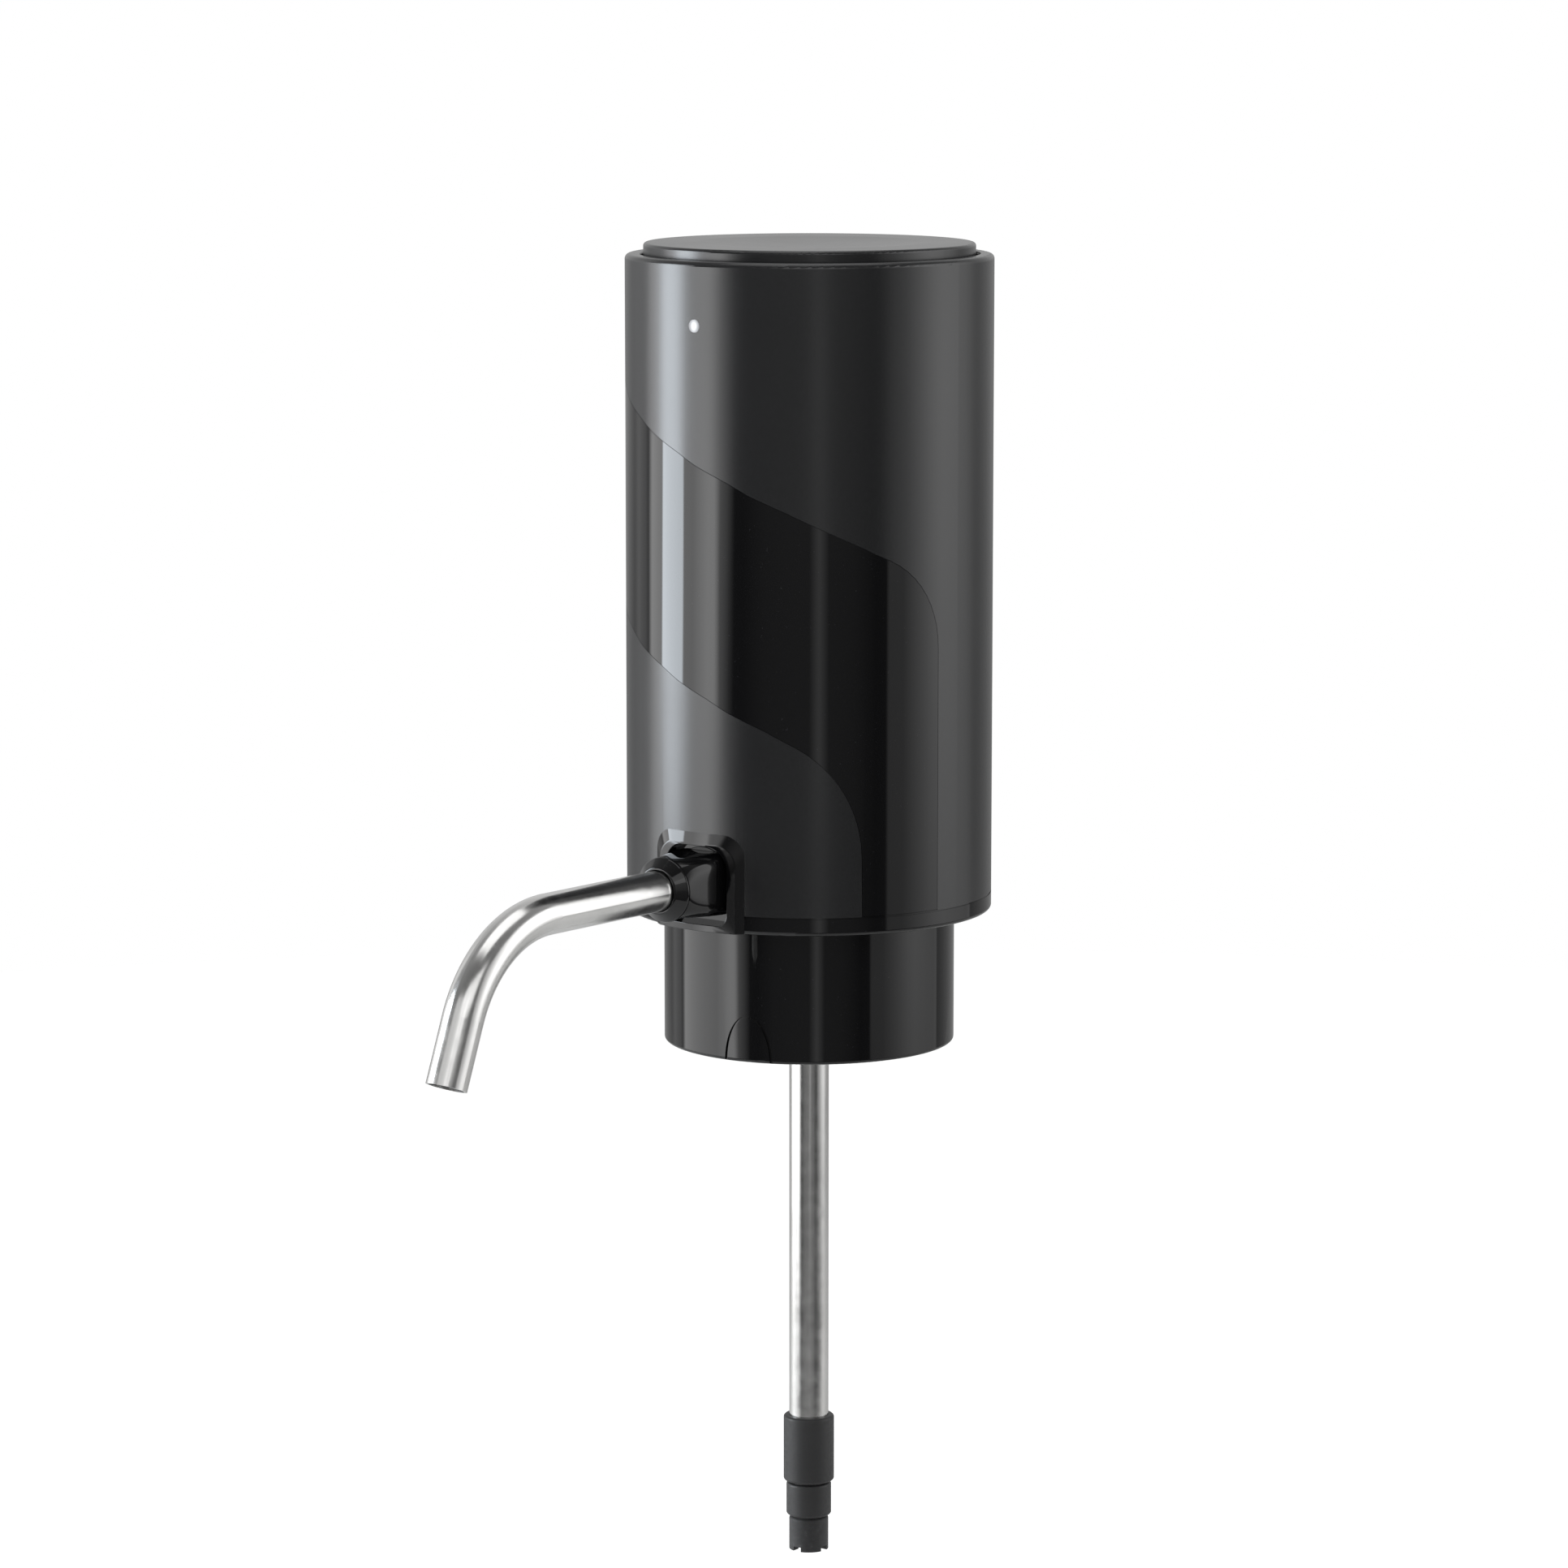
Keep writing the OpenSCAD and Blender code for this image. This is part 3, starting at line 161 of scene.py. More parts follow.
def makeSatinShell():
    mat, tree, shader = newFinish("satinShell")
    where = partCoords(tree)
    fine = grain(tree, where, satinShell["grainScale"], 3)
    marks = grain(tree, where, satinShell["marksScale"], 2)
    colour = satinShell["colour"]
    tree.links.new(
        tones(tree, fine, [(0.35, shade(colour, 0.85)), (0.65, shade(colour, 1.2))]),
        shader.inputs["Base Color"],
    )
    tree.links.new(
        spread(tree, marks, 0.3, 0.7, *satinShell["roughness"]), shader.inputs["Roughness"]
    )
    relief(tree, shader, fine, satinShell["grainDepth"], 0.6)
    shader.inputs["Specular IOR Level"].default_value = satinShell["specular"]
    return mat


# polished black plastic of the band, the collar and the spout's frame
glossInlay = {
    "colour": (0.004, 0.004, 0.0045),
    "roughness": (0.03, 0.075),
    "smearScale": 38,
    "smearStretch": (1, 1, 0.45),  # longer upwards
    "dustScale": 2600,
    "sinkScale": 70,
    "sinkDepth": 0.00002,
}


def makeGlossInlay():
    mat, tree, shader = newFinish("glossInlay")
    where = partCoords(tree)
    along = partCoords(tree, glossInlay["smearStretch"])
    smears = grain(tree, along, glossInlay["smearScale"], 6, 0.62)
    dust = grain(tree, where, glossInlay["dustScale"], 1)
    sink = grain(tree, where, glossInlay["sinkScale"], 1)
    colour = glossInlay["colour"]
    tree.links.new(
        tones(tree, dust, [(0.0, colour), (0.74, colour), (0.80, shade(colour, 6))]),
        shader.inputs["Base Color"],
    )
    tree.links.new(
        spread(tree, smears, 0.38, 0.72, *glossInlay["roughness"]), shader.inputs["Roughness"]
    )
    relief(tree, shader, sink, glossInlay["sinkDepth"], 0.25)
    return mat


# drawn and polished stainless tube
spoutSteel = {
    "colour": (0.74, 0.735, 0.725),
    "roughness": (0.16, 0.24),
    "lineScale": 420,
    "lineDepth": 0.000004,
    "cloudScale": 90,
}


def makeSpoutSteel():
    mat, tree, shader = newFinish("spoutSteel")
    where = partCoords(tree)
    lines = grain(tree, where, spoutSteel["lineScale"], 4, 0.6)
    cloud = grain(tree, where, spoutSteel["cloudScale"], 4)
    colour = spoutSteel["colour"]
    tree.links.new(
        tones(tree, cloud, [(0.3, shade(colour, 0.93)), (0.7, shade(colour, 1.04))]),
        shader.inputs["Base Color"],
    )
    tree.links.new(
        spread(tree, lines, 0.3, 0.7, *spoutSteel["roughness"]), shader.inputs["Roughness"]
    )
    relief(tree, shader, lines, spoutSteel["lineDepth"], 0.5)
    shader.inputs["Metallic"].default_value = 1
    return mat


# soft black silicone, a little dusty
bungSilicone = {
    "colour": (0.017, 0.017, 0.018),
    "roughness": (0.5, 0.68),
    "dustScale": 900,
    "dustDepth": 0.00001,
    "bloomScale": 120,
    "sheen": 0.15,
}


def makeBungSilicone():
    mat, tree, shader = newFinish("bungSilicone")
    where = partCoords(tree)
    dust = grain(tree, where, bungSilicone["dustScale"], 4, 0.7)
    bloom = grain(tree, where, bungSilicone["bloomScale"], 3)
    colour = bungSilicone["colour"]
    tree.links.new(
        tones(tree, dust, [(0.4, colour), (0.62, shade(colour, 1.5)), (0.72, shade(colour, 3))]),
        shader.inputs["Base Color"],
    )
    tree.links.new(
        spread(tree, bloom, 0.3, 0.7, *bungSilicone["roughness"]), shader.inputs["Roughness"]
    )
    relief(tree, shader, dust, bungSilicone["dustDepth"], 0.5)
    shader.inputs["Sheen Weight"].default_value = bungSilicone["sheen"]
    return mat


# moulded plastics inside: (colour, roughness low and high, grain scale)
mouldings = {
    "guideBlack": ((0.024, 0.024, 0.025), (0.42, 0.58), 1500),
    "paleNylon": ((0.62, 0.61, 0.57), (0.45, 0.6), 1100),
    "leadRed": ((0.42, 0.035, 0.03), (0.38, 0.5), 900),
    "hoseClear": ((0.58, 0.61, 0.60), (0.22, 0.34), 700),
    "wrapBlue": ((0.035, 0.15, 0.33), (0.25, 0.4), 500),
}
mouldingGrain = {"depth": 0.00001, "flowScale": 80}
hoseClear = {"seeThrough": 0.35, "ior": 1.41}


def makeMoulding(name):
    colour, roughness, scale = mouldings[name]
    mat, tree, shader = newFinish(name)
    where = partCoords(tree)
    fine = grain(tree, where, scale, 4)
    flow = grain(tree, where, mouldingGrain["flowScale"], 3)
    tree.links.new(
        tones(tree, flow, [(0.3, shade(colour, 0.88)), (0.7, shade(colour, 1.1))]),
        shader.inputs["Base Color"],
    )
    tree.links.new(spread(tree, fine, 0.3, 0.7, *roughness), shader.inputs["Roughness"])
    relief(tree, shader, fine, mouldingGrain["depth"], 0.4)
    if name == "hoseClear":
        shader.inputs["Transmission Weight"].default_value = hoseClear["seeThrough"]
        shader.inputs["IOR"].default_value = hoseClear["ior"]
    return mat


# metals inside: (colour, roughness low and high, pattern scale, stretch of the pattern)
metals = {
    "screwZinc": ((0.60, 0.60, 0.62), (0.2, 0.36), 800, (1, 1, 1)),
    "motorZinc": ((0.52, 0.53, 0.55), (0.22, 0.4), 300, (1, 1, 3)),
    "bushBronze": ((0.56, 0.36, 0.14), (0.3, 0.5), 1400, (1, 1, 1)),
    "tabNickel": ((0.66, 0.65, 0.62), (0.16, 0.3), 600, (4, 1, 1)),
}
metalDepth = 0.000006


def makeMetal(name):
    colour, roughness, scale, stretch = metals[name]
    mat, tree, shader = newFinish(name)
    lines = grain(tree, partCoords(tree, stretch), scale, 4, 0.6)
    tree.links.new(
        tones(tree, lines, [(0.3, shade(colour, 0.85)), (0.7, shade(colour, 1.1))]),
        shader.inputs["Base Color"],
    )
    tree.links.new(spread(tree, lines, 0.3, 0.7, *roughness), shader.inputs["Roughness"])
    relief(tree, shader, lines, metalDepth, 0.5)
    shader.inputs["Metallic"].default_value = 1
    return mat


# copper wire on the armature's iron
windings = {
    "copper": (0.55, 0.23, 0.09),
    "iron": (0.16, 0.15, 0.15),
    "roughness": (0.5, 0.28),
    "wirePitch": 0.0004,
    "wireDepth": 0.00004,
    "unevenness": 1.2,
}


def makeWindings():
    mat, tree, shader = newFinish("windings")
    wave = tree.nodes.new("ShaderNodeTexWave")
    wave.bands_direction = "Z"
    # the wave repeats every pi / 10 at a scale of 1
    wave.inputs["Scale"].default_value = math.pi / (10 * windings["wirePitch"])
    wave.inputs["Distortion"].default_value = windings["unevenness"]
    tree.links.new(partCoords(tree), wave.inputs["Vector"])
    tree.links.new(
        tones(tree, wave.outputs["Fac"], [(0.2, windings["iron"]), (0.5, windings["copper"])]),
        shader.inputs["Base Color"],
    )
    tree.links.new(
        spread(tree, wave.outputs["Fac"], 0, 1, *windings["roughness"]), shader.inputs["Roughness"]
    )
    relief(tree, shader, wave.outputs["Fac"], windings["wireDepth"], 0.6)
    shader.inputs["Metallic"].default_value = 1
    return mat


# solder mask over copper tracks
boardMask = {
    "mask": (0.012, 0.11, 0.045),
    "track": (0.03, 0.20, 0.085),
    "roughness": (0.22, 0.34),
    "trackScale": 240,
    "trackDepth": 0.00003,
}


def makeBoardMask():
    mat, tree, shader = newFinish("boardMask")
    cells = tree.nodes.new("ShaderNodeTexVoronoi")
    cells.distance = "CHEBYCHEV"
    cells.feature = "F1"
    cells.inputs["Scale"].default_value = boardMask["trackScale"]
    tree.links.new(partCoords(tree), cells.inputs["Vector"])
    tracks = cells.outputs["Distance"]
    tree.links.new(
        tones(tree, tracks, [(0.30, boardMask["mask"]), (0.36, boardMask["track"])]),
        shader.inputs["Base Color"],
    )
    tree.links.new(
        spread(tree, tracks, 0, 0.6, *boardMask["roughness"]), shader.inputs["Roughness"]
    )
    relief(tree, shader, tracks, boardMask["trackDepth"], 0.4)
    return mat


# milky light guide, lit from behind and brightest in its middle; its base colour is painted paler in
# the middle too, a painted glow
lightGuide = {
    "colour": (0.25, 0.26, 0.28),
    "smoke": (0.03, 0.031, 0.033),
    "glow": [
        (0.0, (0.92, 0.94, 0.96)),
        (0.4, (0.72, 0.74, 0.76)),
        (0.8, (0.40, 0.41, 0.43)),
        (1.0, (0.28, 0.29, 0.31)),
    ],
    "strength": 1.05,
    "roughness": (0.2, 0.3),
    "cloudScale": 900,
    "halfWide": 0.001,
    "halfTall": 0.00135,
}


def makeLightGuide():
    mat, tree, shader = newFinish("lightGuide")
    cloud = grain(tree, partCoords(tree), lightGuide["cloudScale"], 3)
    tree.links.new(
        spread(tree, cloud, 0.3, 0.7, *lightGuide["roughness"]), shader.inputs["Roughness"]
    )
    low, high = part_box("light_pipe")
    centre = (low[2] + high[2]) / 2
    stretch = (1 / lightGuide["halfWide"], 0, 1 / lightGuide["halfTall"])
    reach = tree.nodes.new("ShaderNodeVectorMath")
    reach.operation = "LENGTH"
    tree.links.new(partCoords(tree, stretch, (0, 0, -centre * stretch[2])), reach.inputs[0])
    outward = reach.outputs["Value"]
    tree.links.new(tones(tree, outward, lightGuide["glow"]), shader.inputs["Emission Color"])
    # base colour runs from pale in the middle to dark at the edge: painted glow, laid in the colour
    # on top of the emission
    tree.links.new(
        tones(tree, outward, [(0.2, lightGuide["colour"]), (0.8, lightGuide["smoke"])]),
        shader.inputs["Base Color"],
    )
    shader.inputs["Emission Strength"].default_value = lightGuide["strength"]
    return mat


finishes = {
    "satin_black": makeSatinShell(),
    "gloss_black": makeGlossInlay(),
    "steel_tube": makeSpoutSteel(),
    "black_silicone": makeBungSilicone(),
    "dark_plastic": makeMoulding("guideBlack"),
    "pale_plastic": makeMoulding("paleNylon"),
    "clear_hose": makeMoulding("hoseClear"),
    "screw_steel": makeMetal("screwZinc"),
    "motor_steel": makeMetal("motorZinc"),
    "armature_iron": makeWindings(),
    "bush_bronze": makeMetal("bushBronze"),
    "cell_wrap": makeMoulding("wrapBlue"),
    "plated_metal": makeMetal("tabNickel"),
    "lead_skin": makeMoulding("leadRed"),
    "board_green": makeBoardMask(),
    "light_white": makeLightGuide(),
}


def dress(name, material):
    node = nodes[name]
    node.data.materials.clear()
    node.data.materials.append(material)


for part in frame["record"]["subparts"]:
    dress(part["node"], finishes[part["material_slot"]])
print("finishes on", len(nodes), "nodes")


# the two mouldings round the spout, with the soft edges that show in their gloss
softEdges = {"segments": 3, "sharpFrom": 28}  # sharp from this many degrees


def mouldLoops(name, loops, softLoops, edge, node):
    # loops of equal length, joined to a closed skin that runs out over the face and back inside
    bm = bmesh.new()
    weight = bm.edges.layers.float.new("bevel_weight_edge")
    rows = [[bm.verts.new(point) for point in loop] for loop in loops]
    for one, two in zip(rows, rows[1:] + rows[:1]):
        for i in range(len(one)):
            j = (i + 1) % len(one)
            bm.faces.new((one[i], one[j], two[j], two[i]))
    for k in softLoops:
        for i, vert in enumerate(rows[k]):
            bm.edges.get((vert, rows[k][(i + 1) % len(rows[k])]))[weight] = 1
    bmesh.ops.recalc_face_normals(bm, faces=bm.faces)
    mesh = bpy.data.meshes.new(name)
    bm.to_mesh(mesh)
    bm.free()
    mesh.shade_smooth()
    mesh.set_sharp_from_angle(angle=math.radians(softEdges["sharpFrom"]))
    piece = bpy.data.objects.new(name, mesh)
    bpy.context.scene.collection.objects.link(piece)
    soft = piece.modifiers.new("softEdges", "BEVEL")
    soft.width = edge
    soft.segments = softEdges["segments"]
    soft.limit_method = "WEIGHT"
    soft.use_clamp_overlap = False
    soft.harden_normals = True
    mesh.materials.append(finishes["gloss_black"])
    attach(piece, "housing")
    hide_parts(node)


sealLow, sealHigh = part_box("spout_seals")
spoutAxisZ = (sealLow[2] + sealHigh[2]) / 2
socketLow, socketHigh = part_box("spout_socket")
frameLow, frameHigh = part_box("spout_frame")
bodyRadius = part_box("body_shell")[1][0]

# lengths in metres; u counts from the body's axis towards the spout
spoutSocket = {
    "shank": 0.006,
    "rootWide": 0.006,
    "rootTall": 0.0054,
    "rootSquare": 7.0,  # 2 is round, more is squarer
    "rootProud": 0.0014,  # before the back of the frame's tub
    "rootChamfer": (0.0004, 0.0002),  # inward and along
    "waistWide": 0.0045,
    "waistTall": 0.0050,
    "bossLoops": 15,
    "ring": 0.0056,
    "ringLength": 0.0022,
    "cone": 0.0016,
    "mouth": 0.00366,
    "mouthDepth": 0.0006,
    "bore": 0.00355,
    "duct": 0.003,
    "inlet": 0.00402,
    "inletDepth": 0.0042,
    "step": 0.0194,  # depth of the shoulder that the spout stops at
    "groove": 0.00464,
    "grooveHalf": 0.00065,
    "seal": 0.00053,
    "sides": 72,
    "edge": 0.0002,
}


def socketLoop(u, wide, tall=None, square=2.0):
    tall = tall or wide
    loop = []
    for i in range(spoutSocket["sides"]):
        a = 2 * math.pi * i / spoutSocket["sides"]
        c, d = math.cos(a), math.sin(a)
        r = (abs(c / wide) ** square + abs(d / tall) ** square) ** (-1 / square)
        loop.append((r * c, -u, spoutAxisZ + r * d))
    return loop


def mouldSpoutSocket():
    s = spoutSocket
    back, face = -socketHigh[1], -socketLow[1]
    root = -frameHigh[1] + s["rootProud"]
    inward, along = s["rootChamfer"]
    ringBack = face - s["ringLength"]
    loops = [
        socketLoop(back, s["shank"]),
        socketLoop(root, s["shank"]),
        socketLoop(root, s["rootWide"] - inward, s["rootTall"] - inward, s["rootSquare"]),
    ]
    # the boss narrows in straight lines and turns round close to the ring
    for k in range(s["bossLoops"]):
        t = k / (s["bossLoops"] - 1)
        wide = s["rootWide"] + (s["waistWide"] - s["rootWide"]) * t
        tall = s["rootTall"] + (s["waistTall"] - s["rootTall"]) * t
        square = 2 + (s["rootSquare"] - 2) * (1 - t ** 2)
        loops.append(socketLoop(root + along + t * (ringBack - root - along), wide, tall, square))
    ringAt = len(loops)
    loops += [
        socketLoop(ringBack, s["ring"]),
        socketLoop(face - s["cone"], s["ring"]),
        socketLoop(face, s["ring"] - s["cone"]),
        socketLoop(face, s["mouth"]),
        socketLoop(face - s["mouthDepth"], s["bore"]),
    ]
    for u in (-sealLow[1] - s["seal"], -sealHigh[1] + s["seal"]):
        for side, reach in ((1, "bore"), (1, "groove"), (-1, "groove"), (-1, "bore")):
            loops.append(socketLoop(u + side * s["grooveHalf"], s[reach]))
    loops += [
        socketLoop(face - s["step"], s["bore"]),
        socketLoop(face - s["step"], s["duct"]),
        socketLoop(back + s["inletDepth"], s["duct"]),
        socketLoop(back + s["inletDepth"], s["inlet"]),
        socketLoop(back, s["inlet"]),
    ]
    mouldLoops("spoutSocket", loops, (ringAt, ringAt + 1, ringAt + 2), s["edge"], "spout_socket")


spoutFrame = {
    "front": 0.0005,  # how far the face stands before the body
    "slope": 0.00125,  # from the root's width to the face's
    "rootRound": 0.004,
    "faceRound": 0.0036,
    "faceTop": 0.0003,  # face above the opening
    "openHalf": 0.0066,
    "openTop": 0.0022,  # below the root's top
    "openSill": 0.0012,
    "openRound": 0.004,
    "sillRound": 0.002,
    "footRound": 0.0003,
    "tubWall": 0.001,
    "tubRound": 0.0045,
    "tubFloor": 0.0012,
    "hole": 0.0061,
    "wallGap": 0.00002,  # keeps the outline just clear of the shell
    "edge": 0.00014,
    "arcSteps": 12,
    "lineSteps": 6,
}


def archLoop(half, low, high, topRound, lowRound):
    # closed outline from the left of the foot, up the side, over the top and down again
    corners = [
        (-half + lowRound, low + lowRound, lowRound, 270, 180),
        (-half + topRound, high - topRound, topRound, 180, 90),
        (half - topRound, high - topRound, topRound, 90, 0),
        (half - lowRound, low + lowRound, lowRound, 360, 270),
    ]
    steps = spoutFrame["arcSteps"]
    arcs = []
    for x, z, r, start, end in corners:
        turns = [math.radians(start + (end - start) * k / steps) for k in range(steps + 1)]
        arcs.append([(x + r * math.cos(a), z + r * math.sin(a)) for a in turns])
    steps = spoutFrame["lineSteps"]
    outline = []
    for i, arc in enumerate(arcs):
        (x, z), (nextX, nextZ) = arc[-1], arcs[(i + 1) % len(arcs)][0]
        outline += arc
        for k in range(1, steps):
            outline.append((x + (nextX - x) * k / steps, z + (nextZ - z) * k / steps))
    return outline


def mouldSpoutFrame():
    f = spoutFrame
    low, high = frameLow[2], frameHigh[2]
    back = -frameHigh[1]
    rootHalf = frameHigh[0]
    openTop = high - f["openTop"]
    tubHalf, tubTop = f["openHalf"] + f["tubWall"], openTop + f["tubWall"]
    tub = archLoop(tubHalf, low, tubTop, f["tubRound"], f["footRound"])
    root = archLoop(rootHalf, low, high, f["rootRound"], f["footRound"])
    rim = archLoop(rootHalf - f["slope"], low, openTop + f["faceTop"], f["faceRound"], f["footRound"])
    opening = archLoop(f["openHalf"], low + f["openSill"], openTop, f["openRound"], f["sillRound"])
    turns = [math.atan2(z - spoutAxisZ, x) for x, z in opening]
    hole = [(f["hole"] * math.cos(a), spoutAxisZ + f["hole"] * math.sin(a)) for a in turns]

    def onWall(outline, proud=f["wallGap"]):
        # bent round the body's axis
        return [(x, -math.sqrt((bodyRadius + proud) ** 2 - x * x), z) for x, z in outline]

    def flat(outline, u):
        return [(x, -u, z) for x, z in outline]

    loops = [
        flat(tub, back),
        onWall(tub),
        onWall(root),
        onWall(rim, f["front"]),
        onWall(opening, f["front"]),
        flat(opening, back + f["tubFloor"]),
        flat(hole, back + f["tubFloor"]),
        flat(hole, back),
    ]
    mouldLoops("spoutFrame", loops, (3, 4), f["edge"], "spout_frame")


mouldSpoutSocket()
mouldSpoutFrame()
print("spout's frame and socket moulded")

# pale table top well below the dip tube, most of it behind; all round it is white
table = {
    "radius": 1.1,
    "behind": 0.55,
    "height": -0.30,
    "colour": (0.80, 0.80, 0.79),
    "cloudScale": 14,
    "roughness": 0.75,
    "specular": 0.1,
    "seenLift": 0.78,
    "mirrorLift": 0.08,
    "segments": 96,
}


def shinyRays(tree):
    # camera rays, and mirrored or see-through ones
    path = tree.nodes.new("ShaderNodeLightPath")
    shiny = tree.nodes.new("ShaderNodeMath")
    shiny.operation = "MAXIMUM"
    tree.links.new(path.outputs["Is Glossy Ray"], shiny.inputs[0])
    tree.links.new(path.outputs["Is Transmission Ray"], shiny.inputs[1])
    return path.outputs["Is Camera Ray"], shiny.outputs[0]


def seenRays(tree, seen, mirrored):
    # camera rays meet the white of the set, mirrored and see-through ones a little less
    camera, shiny = shinyRays(tree)
    both = tree.nodes.new("ShaderNodeMath")
    both.operation = "ADD"
    tree.links.new(spread(tree, camera, 0, 1, 0, seen), both.inputs[0])
    tree.links.new(spread(tree, shiny, 0, 1, 0, mirrored), both.inputs[1])
    return both.outputs[0]


def layTable():
    mesh = bpy.data.meshes.new("tableTop")
    bm = bmesh.new()
    bmesh.ops.create_circle(
        bm, cap_ends=True, segments=table["segments"], radius=table["radius"]
    )
    bmesh.ops.translate(bm, verts=bm.verts, vec=roundAxis(180, table["behind"], table["height"]))
    bm.to_mesh(mesh)
    bm.free()
    top = bpy.data.objects.new("tableTop", mesh)
    bpy.context.scene.collection.objects.link(top)
    mat, tree, shader = newFinish("tablePaint")
    cloud = grain(tree, partCoords(tree), table["cloudScale"], 4)
    colour = table["colour"]
    tree.links.new(
        tones(tree, cloud, [(0.3, shade(colour, 0.985)), (0.7, colour)]),
        shader.inputs["Base Color"],
    )
    shader.inputs["Roughness"].default_value = table["roughness"]
    shader.inputs["Specular IOR Level"].default_value = table["specular"]
    shader.inputs["Emission Color"].default_value = (1, 1, 1, 1)
    glow = seenRays(tree, table["seenLift"], table["mirrorLift"])
    tree.links.new(glow, shader.inputs["Emission Strength"])
    mesh.materials.append(mat)


# white backdrop behind and above, dim on the side the picture is taken from
backdrop = {
    "wall": [  # brightness from the side the picture is taken from to the far side
        (0.0, 0.38),
        (0.06, 0.30),
        (0.13, 0.12),
        (0.35, 0.2),
        (0.62, 0.3),
        (0.80, 0.5),
        (0.95, 0.66),
    ],
    "horizon": (-0.12, 0.06),
    "belowHorizon": 0.5,
    "ambient": 0.22,
}


def hangBackdrop():
    world = bpy.data.worlds.new("backdrop")
    bpy.context.scene.world = world
    world.use_nodes = True
    tree = world.node_tree
    tree.nodes.clear()
    out = tree.nodes.new("ShaderNodeOutputWorld")
    coords = tree.nodes.new("ShaderNodeTexCoord")
    along = tree.nodes.new("ShaderNodeVectorMath")
    along.operation = "DOT_PRODUCT"
    along.inputs[1].default_value = -roundAxis(0, 1, 0)
    tree.links.new(coords.outputs["Generated"], along.inputs[0])
    depth = spread(tree, along.outputs["Value"], -1, 1, 0, 1)
    wall = tones(tree, depth, [(p, (v, v, v)) for p, v in backdrop["wall"]])
    parts = tree.nodes.new("ShaderNodeSeparateXYZ")
    tree.links.new(coords.outputs["Generated"], parts.inputs[0])
    fade = spread(tree, parts.outputs["Z"], *backdrop["horizon"], backdrop["belowHorizon"], 1)

    mirrored = tree.nodes.new("ShaderNodeBackground")
    tree.links.new(wall, mirrored.inputs["Color"])
    tree.links.new(fade, mirrored.inputs["Strength"])
    plain = tree.nodes.new("ShaderNodeBackground")
    plain.inputs["Color"].default_value = (1, 1, 1, 1)
    plain.inputs["Strength"].default_value = 1
    soft = tree.nodes.new("ShaderNodeBackground")
    soft.inputs["Color"].default_value = (1, 1, 1, 1)
    soft.inputs["Strength"].default_value = backdrop["ambient"]

    camera, shiny = shinyRays(tree)
    first = tree.nodes.new("ShaderNodeMixShader")
    tree.links.new(shiny, first.inputs["Fac"])
    tree.links.new(soft.outputs[0], first.inputs[1])
    tree.links.new(mirrored.outputs[0], first.inputs[2])
    second = tree.nodes.new("ShaderNodeMixShader")
    tree.links.new(camera, second.inputs["Fac"])
    tree.links.new(first.outputs[0], second.inputs[1])
    tree.links.new(plain.outputs[0], second.inputs[2])
    tree.links.new(second.outputs[0], out.inputs["Surface"])


# soft boxes: azimuth, half width and feather in degrees from the viewpoint, heights in metres
softBoxes = {
    "leftStrip": {
        "azimuth": -93.5, "half": 10, "distance": 0.85, "low": -0.11, "high": 0.38,
        "glow": 7.4, "feather": 1.2, "foot": 1.0,
    },
    "leftPanel": {
        "azimuth": -88, "half": 31, "distance": 1.0, "low": -0.29, "high": 0.30,
        "glow": 2.4, "feather": 4, "foot": 0.8,
    },
    "leftInner": {
        "azimuth": -62, "half": 15, "distance": 1.0, "low": -0.29, "high": 0.30,
        "glow": 1.6, "feather": 12, "foot": 0.7,
    },
    "leftBack": {
        "azimuth": -128, "half": 12, "distance": 1.1, "low": -0.29, "high": 0.75,
        "glow": 0.3, "feather": 7, "foot": 1.0,
    },
    "rightPanel": {
        "azimuth": 85, "half": 37, "distance": 1.1, "low": -0.29, "high": 0.75,
        "glow": 0.45, "feather": 2, "foot": 0.8,
    },
    "rightCore": {
        "azimuth": 88, "half": 28, "distance": 1.0, "low": -0.29, "high": 0.75,
        "glow": 1.3, "feather": 24, "foot": 0.15,
    },
    "frontStrip": {
        "azimuth": 6, "half": 6, "distance": 1.3, "low": -0.29, "high": 0.75,
        "glow": 0.5, "feather": 5.5, "foot": 1.0,
    },
    "frontTop": {
        "azimuth": 8, "half": 26, "distance": 1.3, "low": 0.40, "high": 0.98,
        "glow": 1.0, "feather": 8, "foot": 1.0, "tilt": 32,
    },
    "frontLeft": {
        "azimuth": -35, "half": 22, "distance": 1.2, "low": 0.32, "high": 0.78,
        "glow": 0.6, "feather": 10, "foot": 1.0, "tilt": 26,
    },
}
coolLight = (0.84, 0.92, 1.0)  # the bright strip leans to blue
footFade = 0.3  # lowest stretch of a soft box, where it fades to its foot
topBox = {"size": 1.0, "height": 1.3, "glow": 1.2}


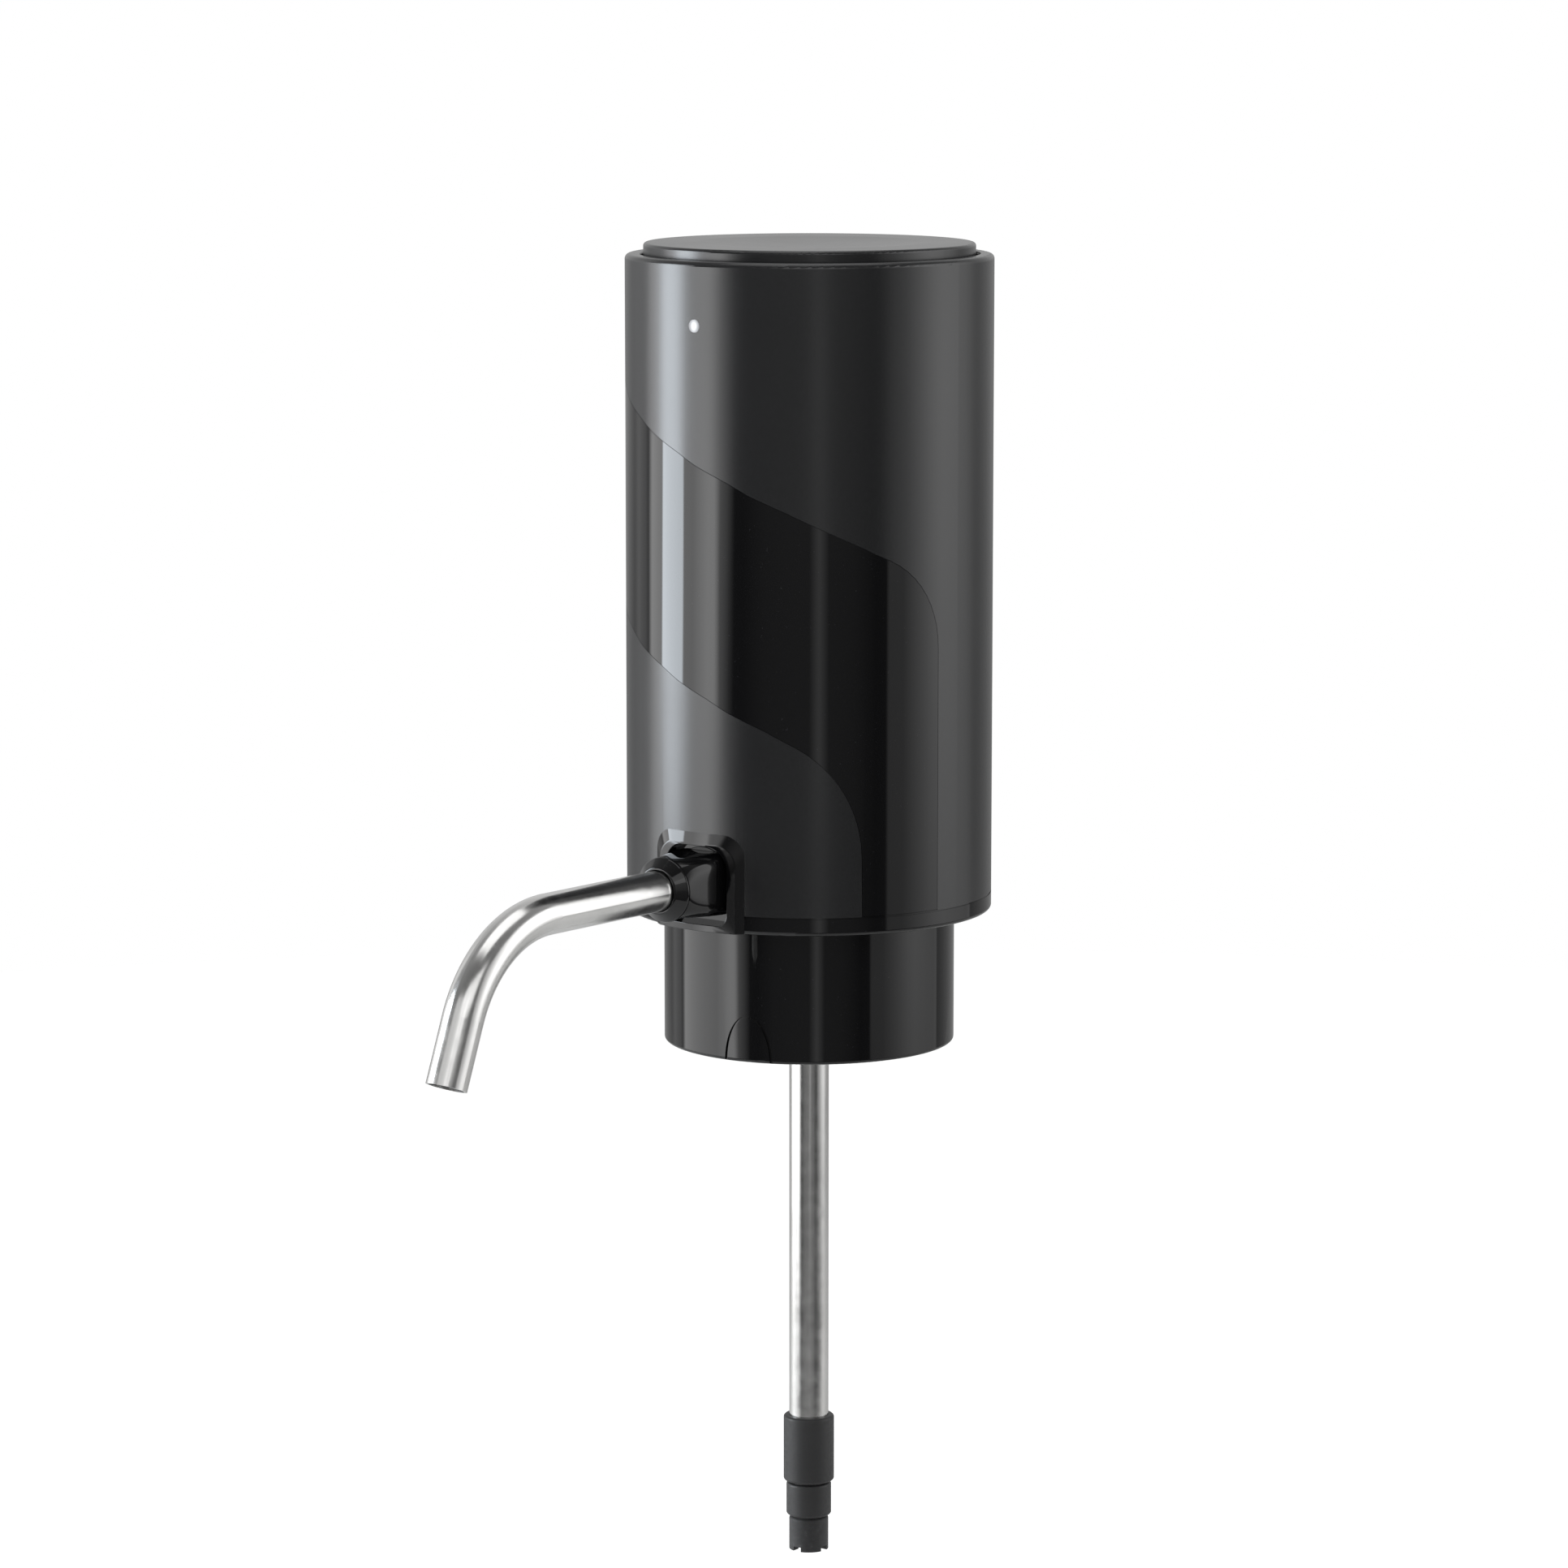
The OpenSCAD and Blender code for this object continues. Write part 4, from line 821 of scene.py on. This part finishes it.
def softenBox(data, box):
    # fades towards the two sides, and towards the foot
    data.use_nodes = True
    tree = data.node_tree
    place = tree.nodes.new("ShaderNodeNewGeometry")
    parts = tree.nodes.new("ShaderNodeSeparateXYZ")
    tree.links.new(place.outputs["Parametric"], parts.inputs[0])
    offset = tree.nodes.new("ShaderNodeMath")
    offset.operation = "SUBTRACT"
    offset.inputs[1].default_value = 0.5
    tree.links.new(parts.outputs["X"], offset.inputs[0])
    aside = tree.nodes.new("ShaderNodeMath")
    aside.operation = "ABSOLUTE"
    tree.links.new(offset.outputs[0], aside.inputs[0])
    edge = box["distance"] * math.tan(math.radians(box["half"] - box["feather"])) / data.size
    across = spread(tree, aside.outputs[0], edge, 0.5, 1, 0)
    upward = spread(tree, parts.outputs["Y"], 0, footFade / data.size_y, box["foot"], 1)
    both = tree.nodes.new("ShaderNodeMath")
    both.operation = "MULTIPLY"
    tree.links.new(across, both.inputs[0])
    tree.links.new(upward, both.inputs[1])
    tree.links.new(both.outputs[0], tree.nodes["Emission"].inputs["Strength"])


def hangSoftBoxes():
    for name, box in softBoxes.items():
        data = bpy.data.lights.new(name, "AREA")
        data.shape = "RECTANGLE"
        data.size = 2 * box["distance"] * math.tan(math.radians(box["half"]))
        data.size_y = box["high"] - box["low"]
        data.energy = box["glow"] * math.pi * data.size * data.size_y
        softenBox(data, box)
        if name == "leftStrip":
            data.color = coolLight
        lamp = bpy.data.objects.new(name, data)
        tilt = math.radians(box.get("tilt", 0))
        lamp.location = roundAxis(
            box["azimuth"], box["distance"] * math.cos(tilt), (box["low"] + box["high"]) / 2
        )
        lamp.rotation_euler = (
            math.radians(90) - tilt,
            0,
            math.radians(viewpoint["azimuth"] + box["azimuth"]),
        )
        lamp.visible_camera = False
        bpy.context.scene.collection.objects.link(lamp)


def hangTopBox():
    data = bpy.data.lights.new("topBox", "AREA")
    data.shape = "SQUARE"
    data.size = topBox["size"]
    data.energy = topBox["glow"] * math.pi * data.size ** 2
    lamp = bpy.data.objects.new("topBox", data)
    lamp.location = (0, 0, topBox["height"])
    lamp.visible_camera = False
    bpy.context.scene.collection.objects.link(lamp)


layTable()
hangBackdrop()
hangSoftBoxes()
hangTopBox()
bpy.context.scene.view_settings.view_transform = "Standard"
print("set and lights ready")
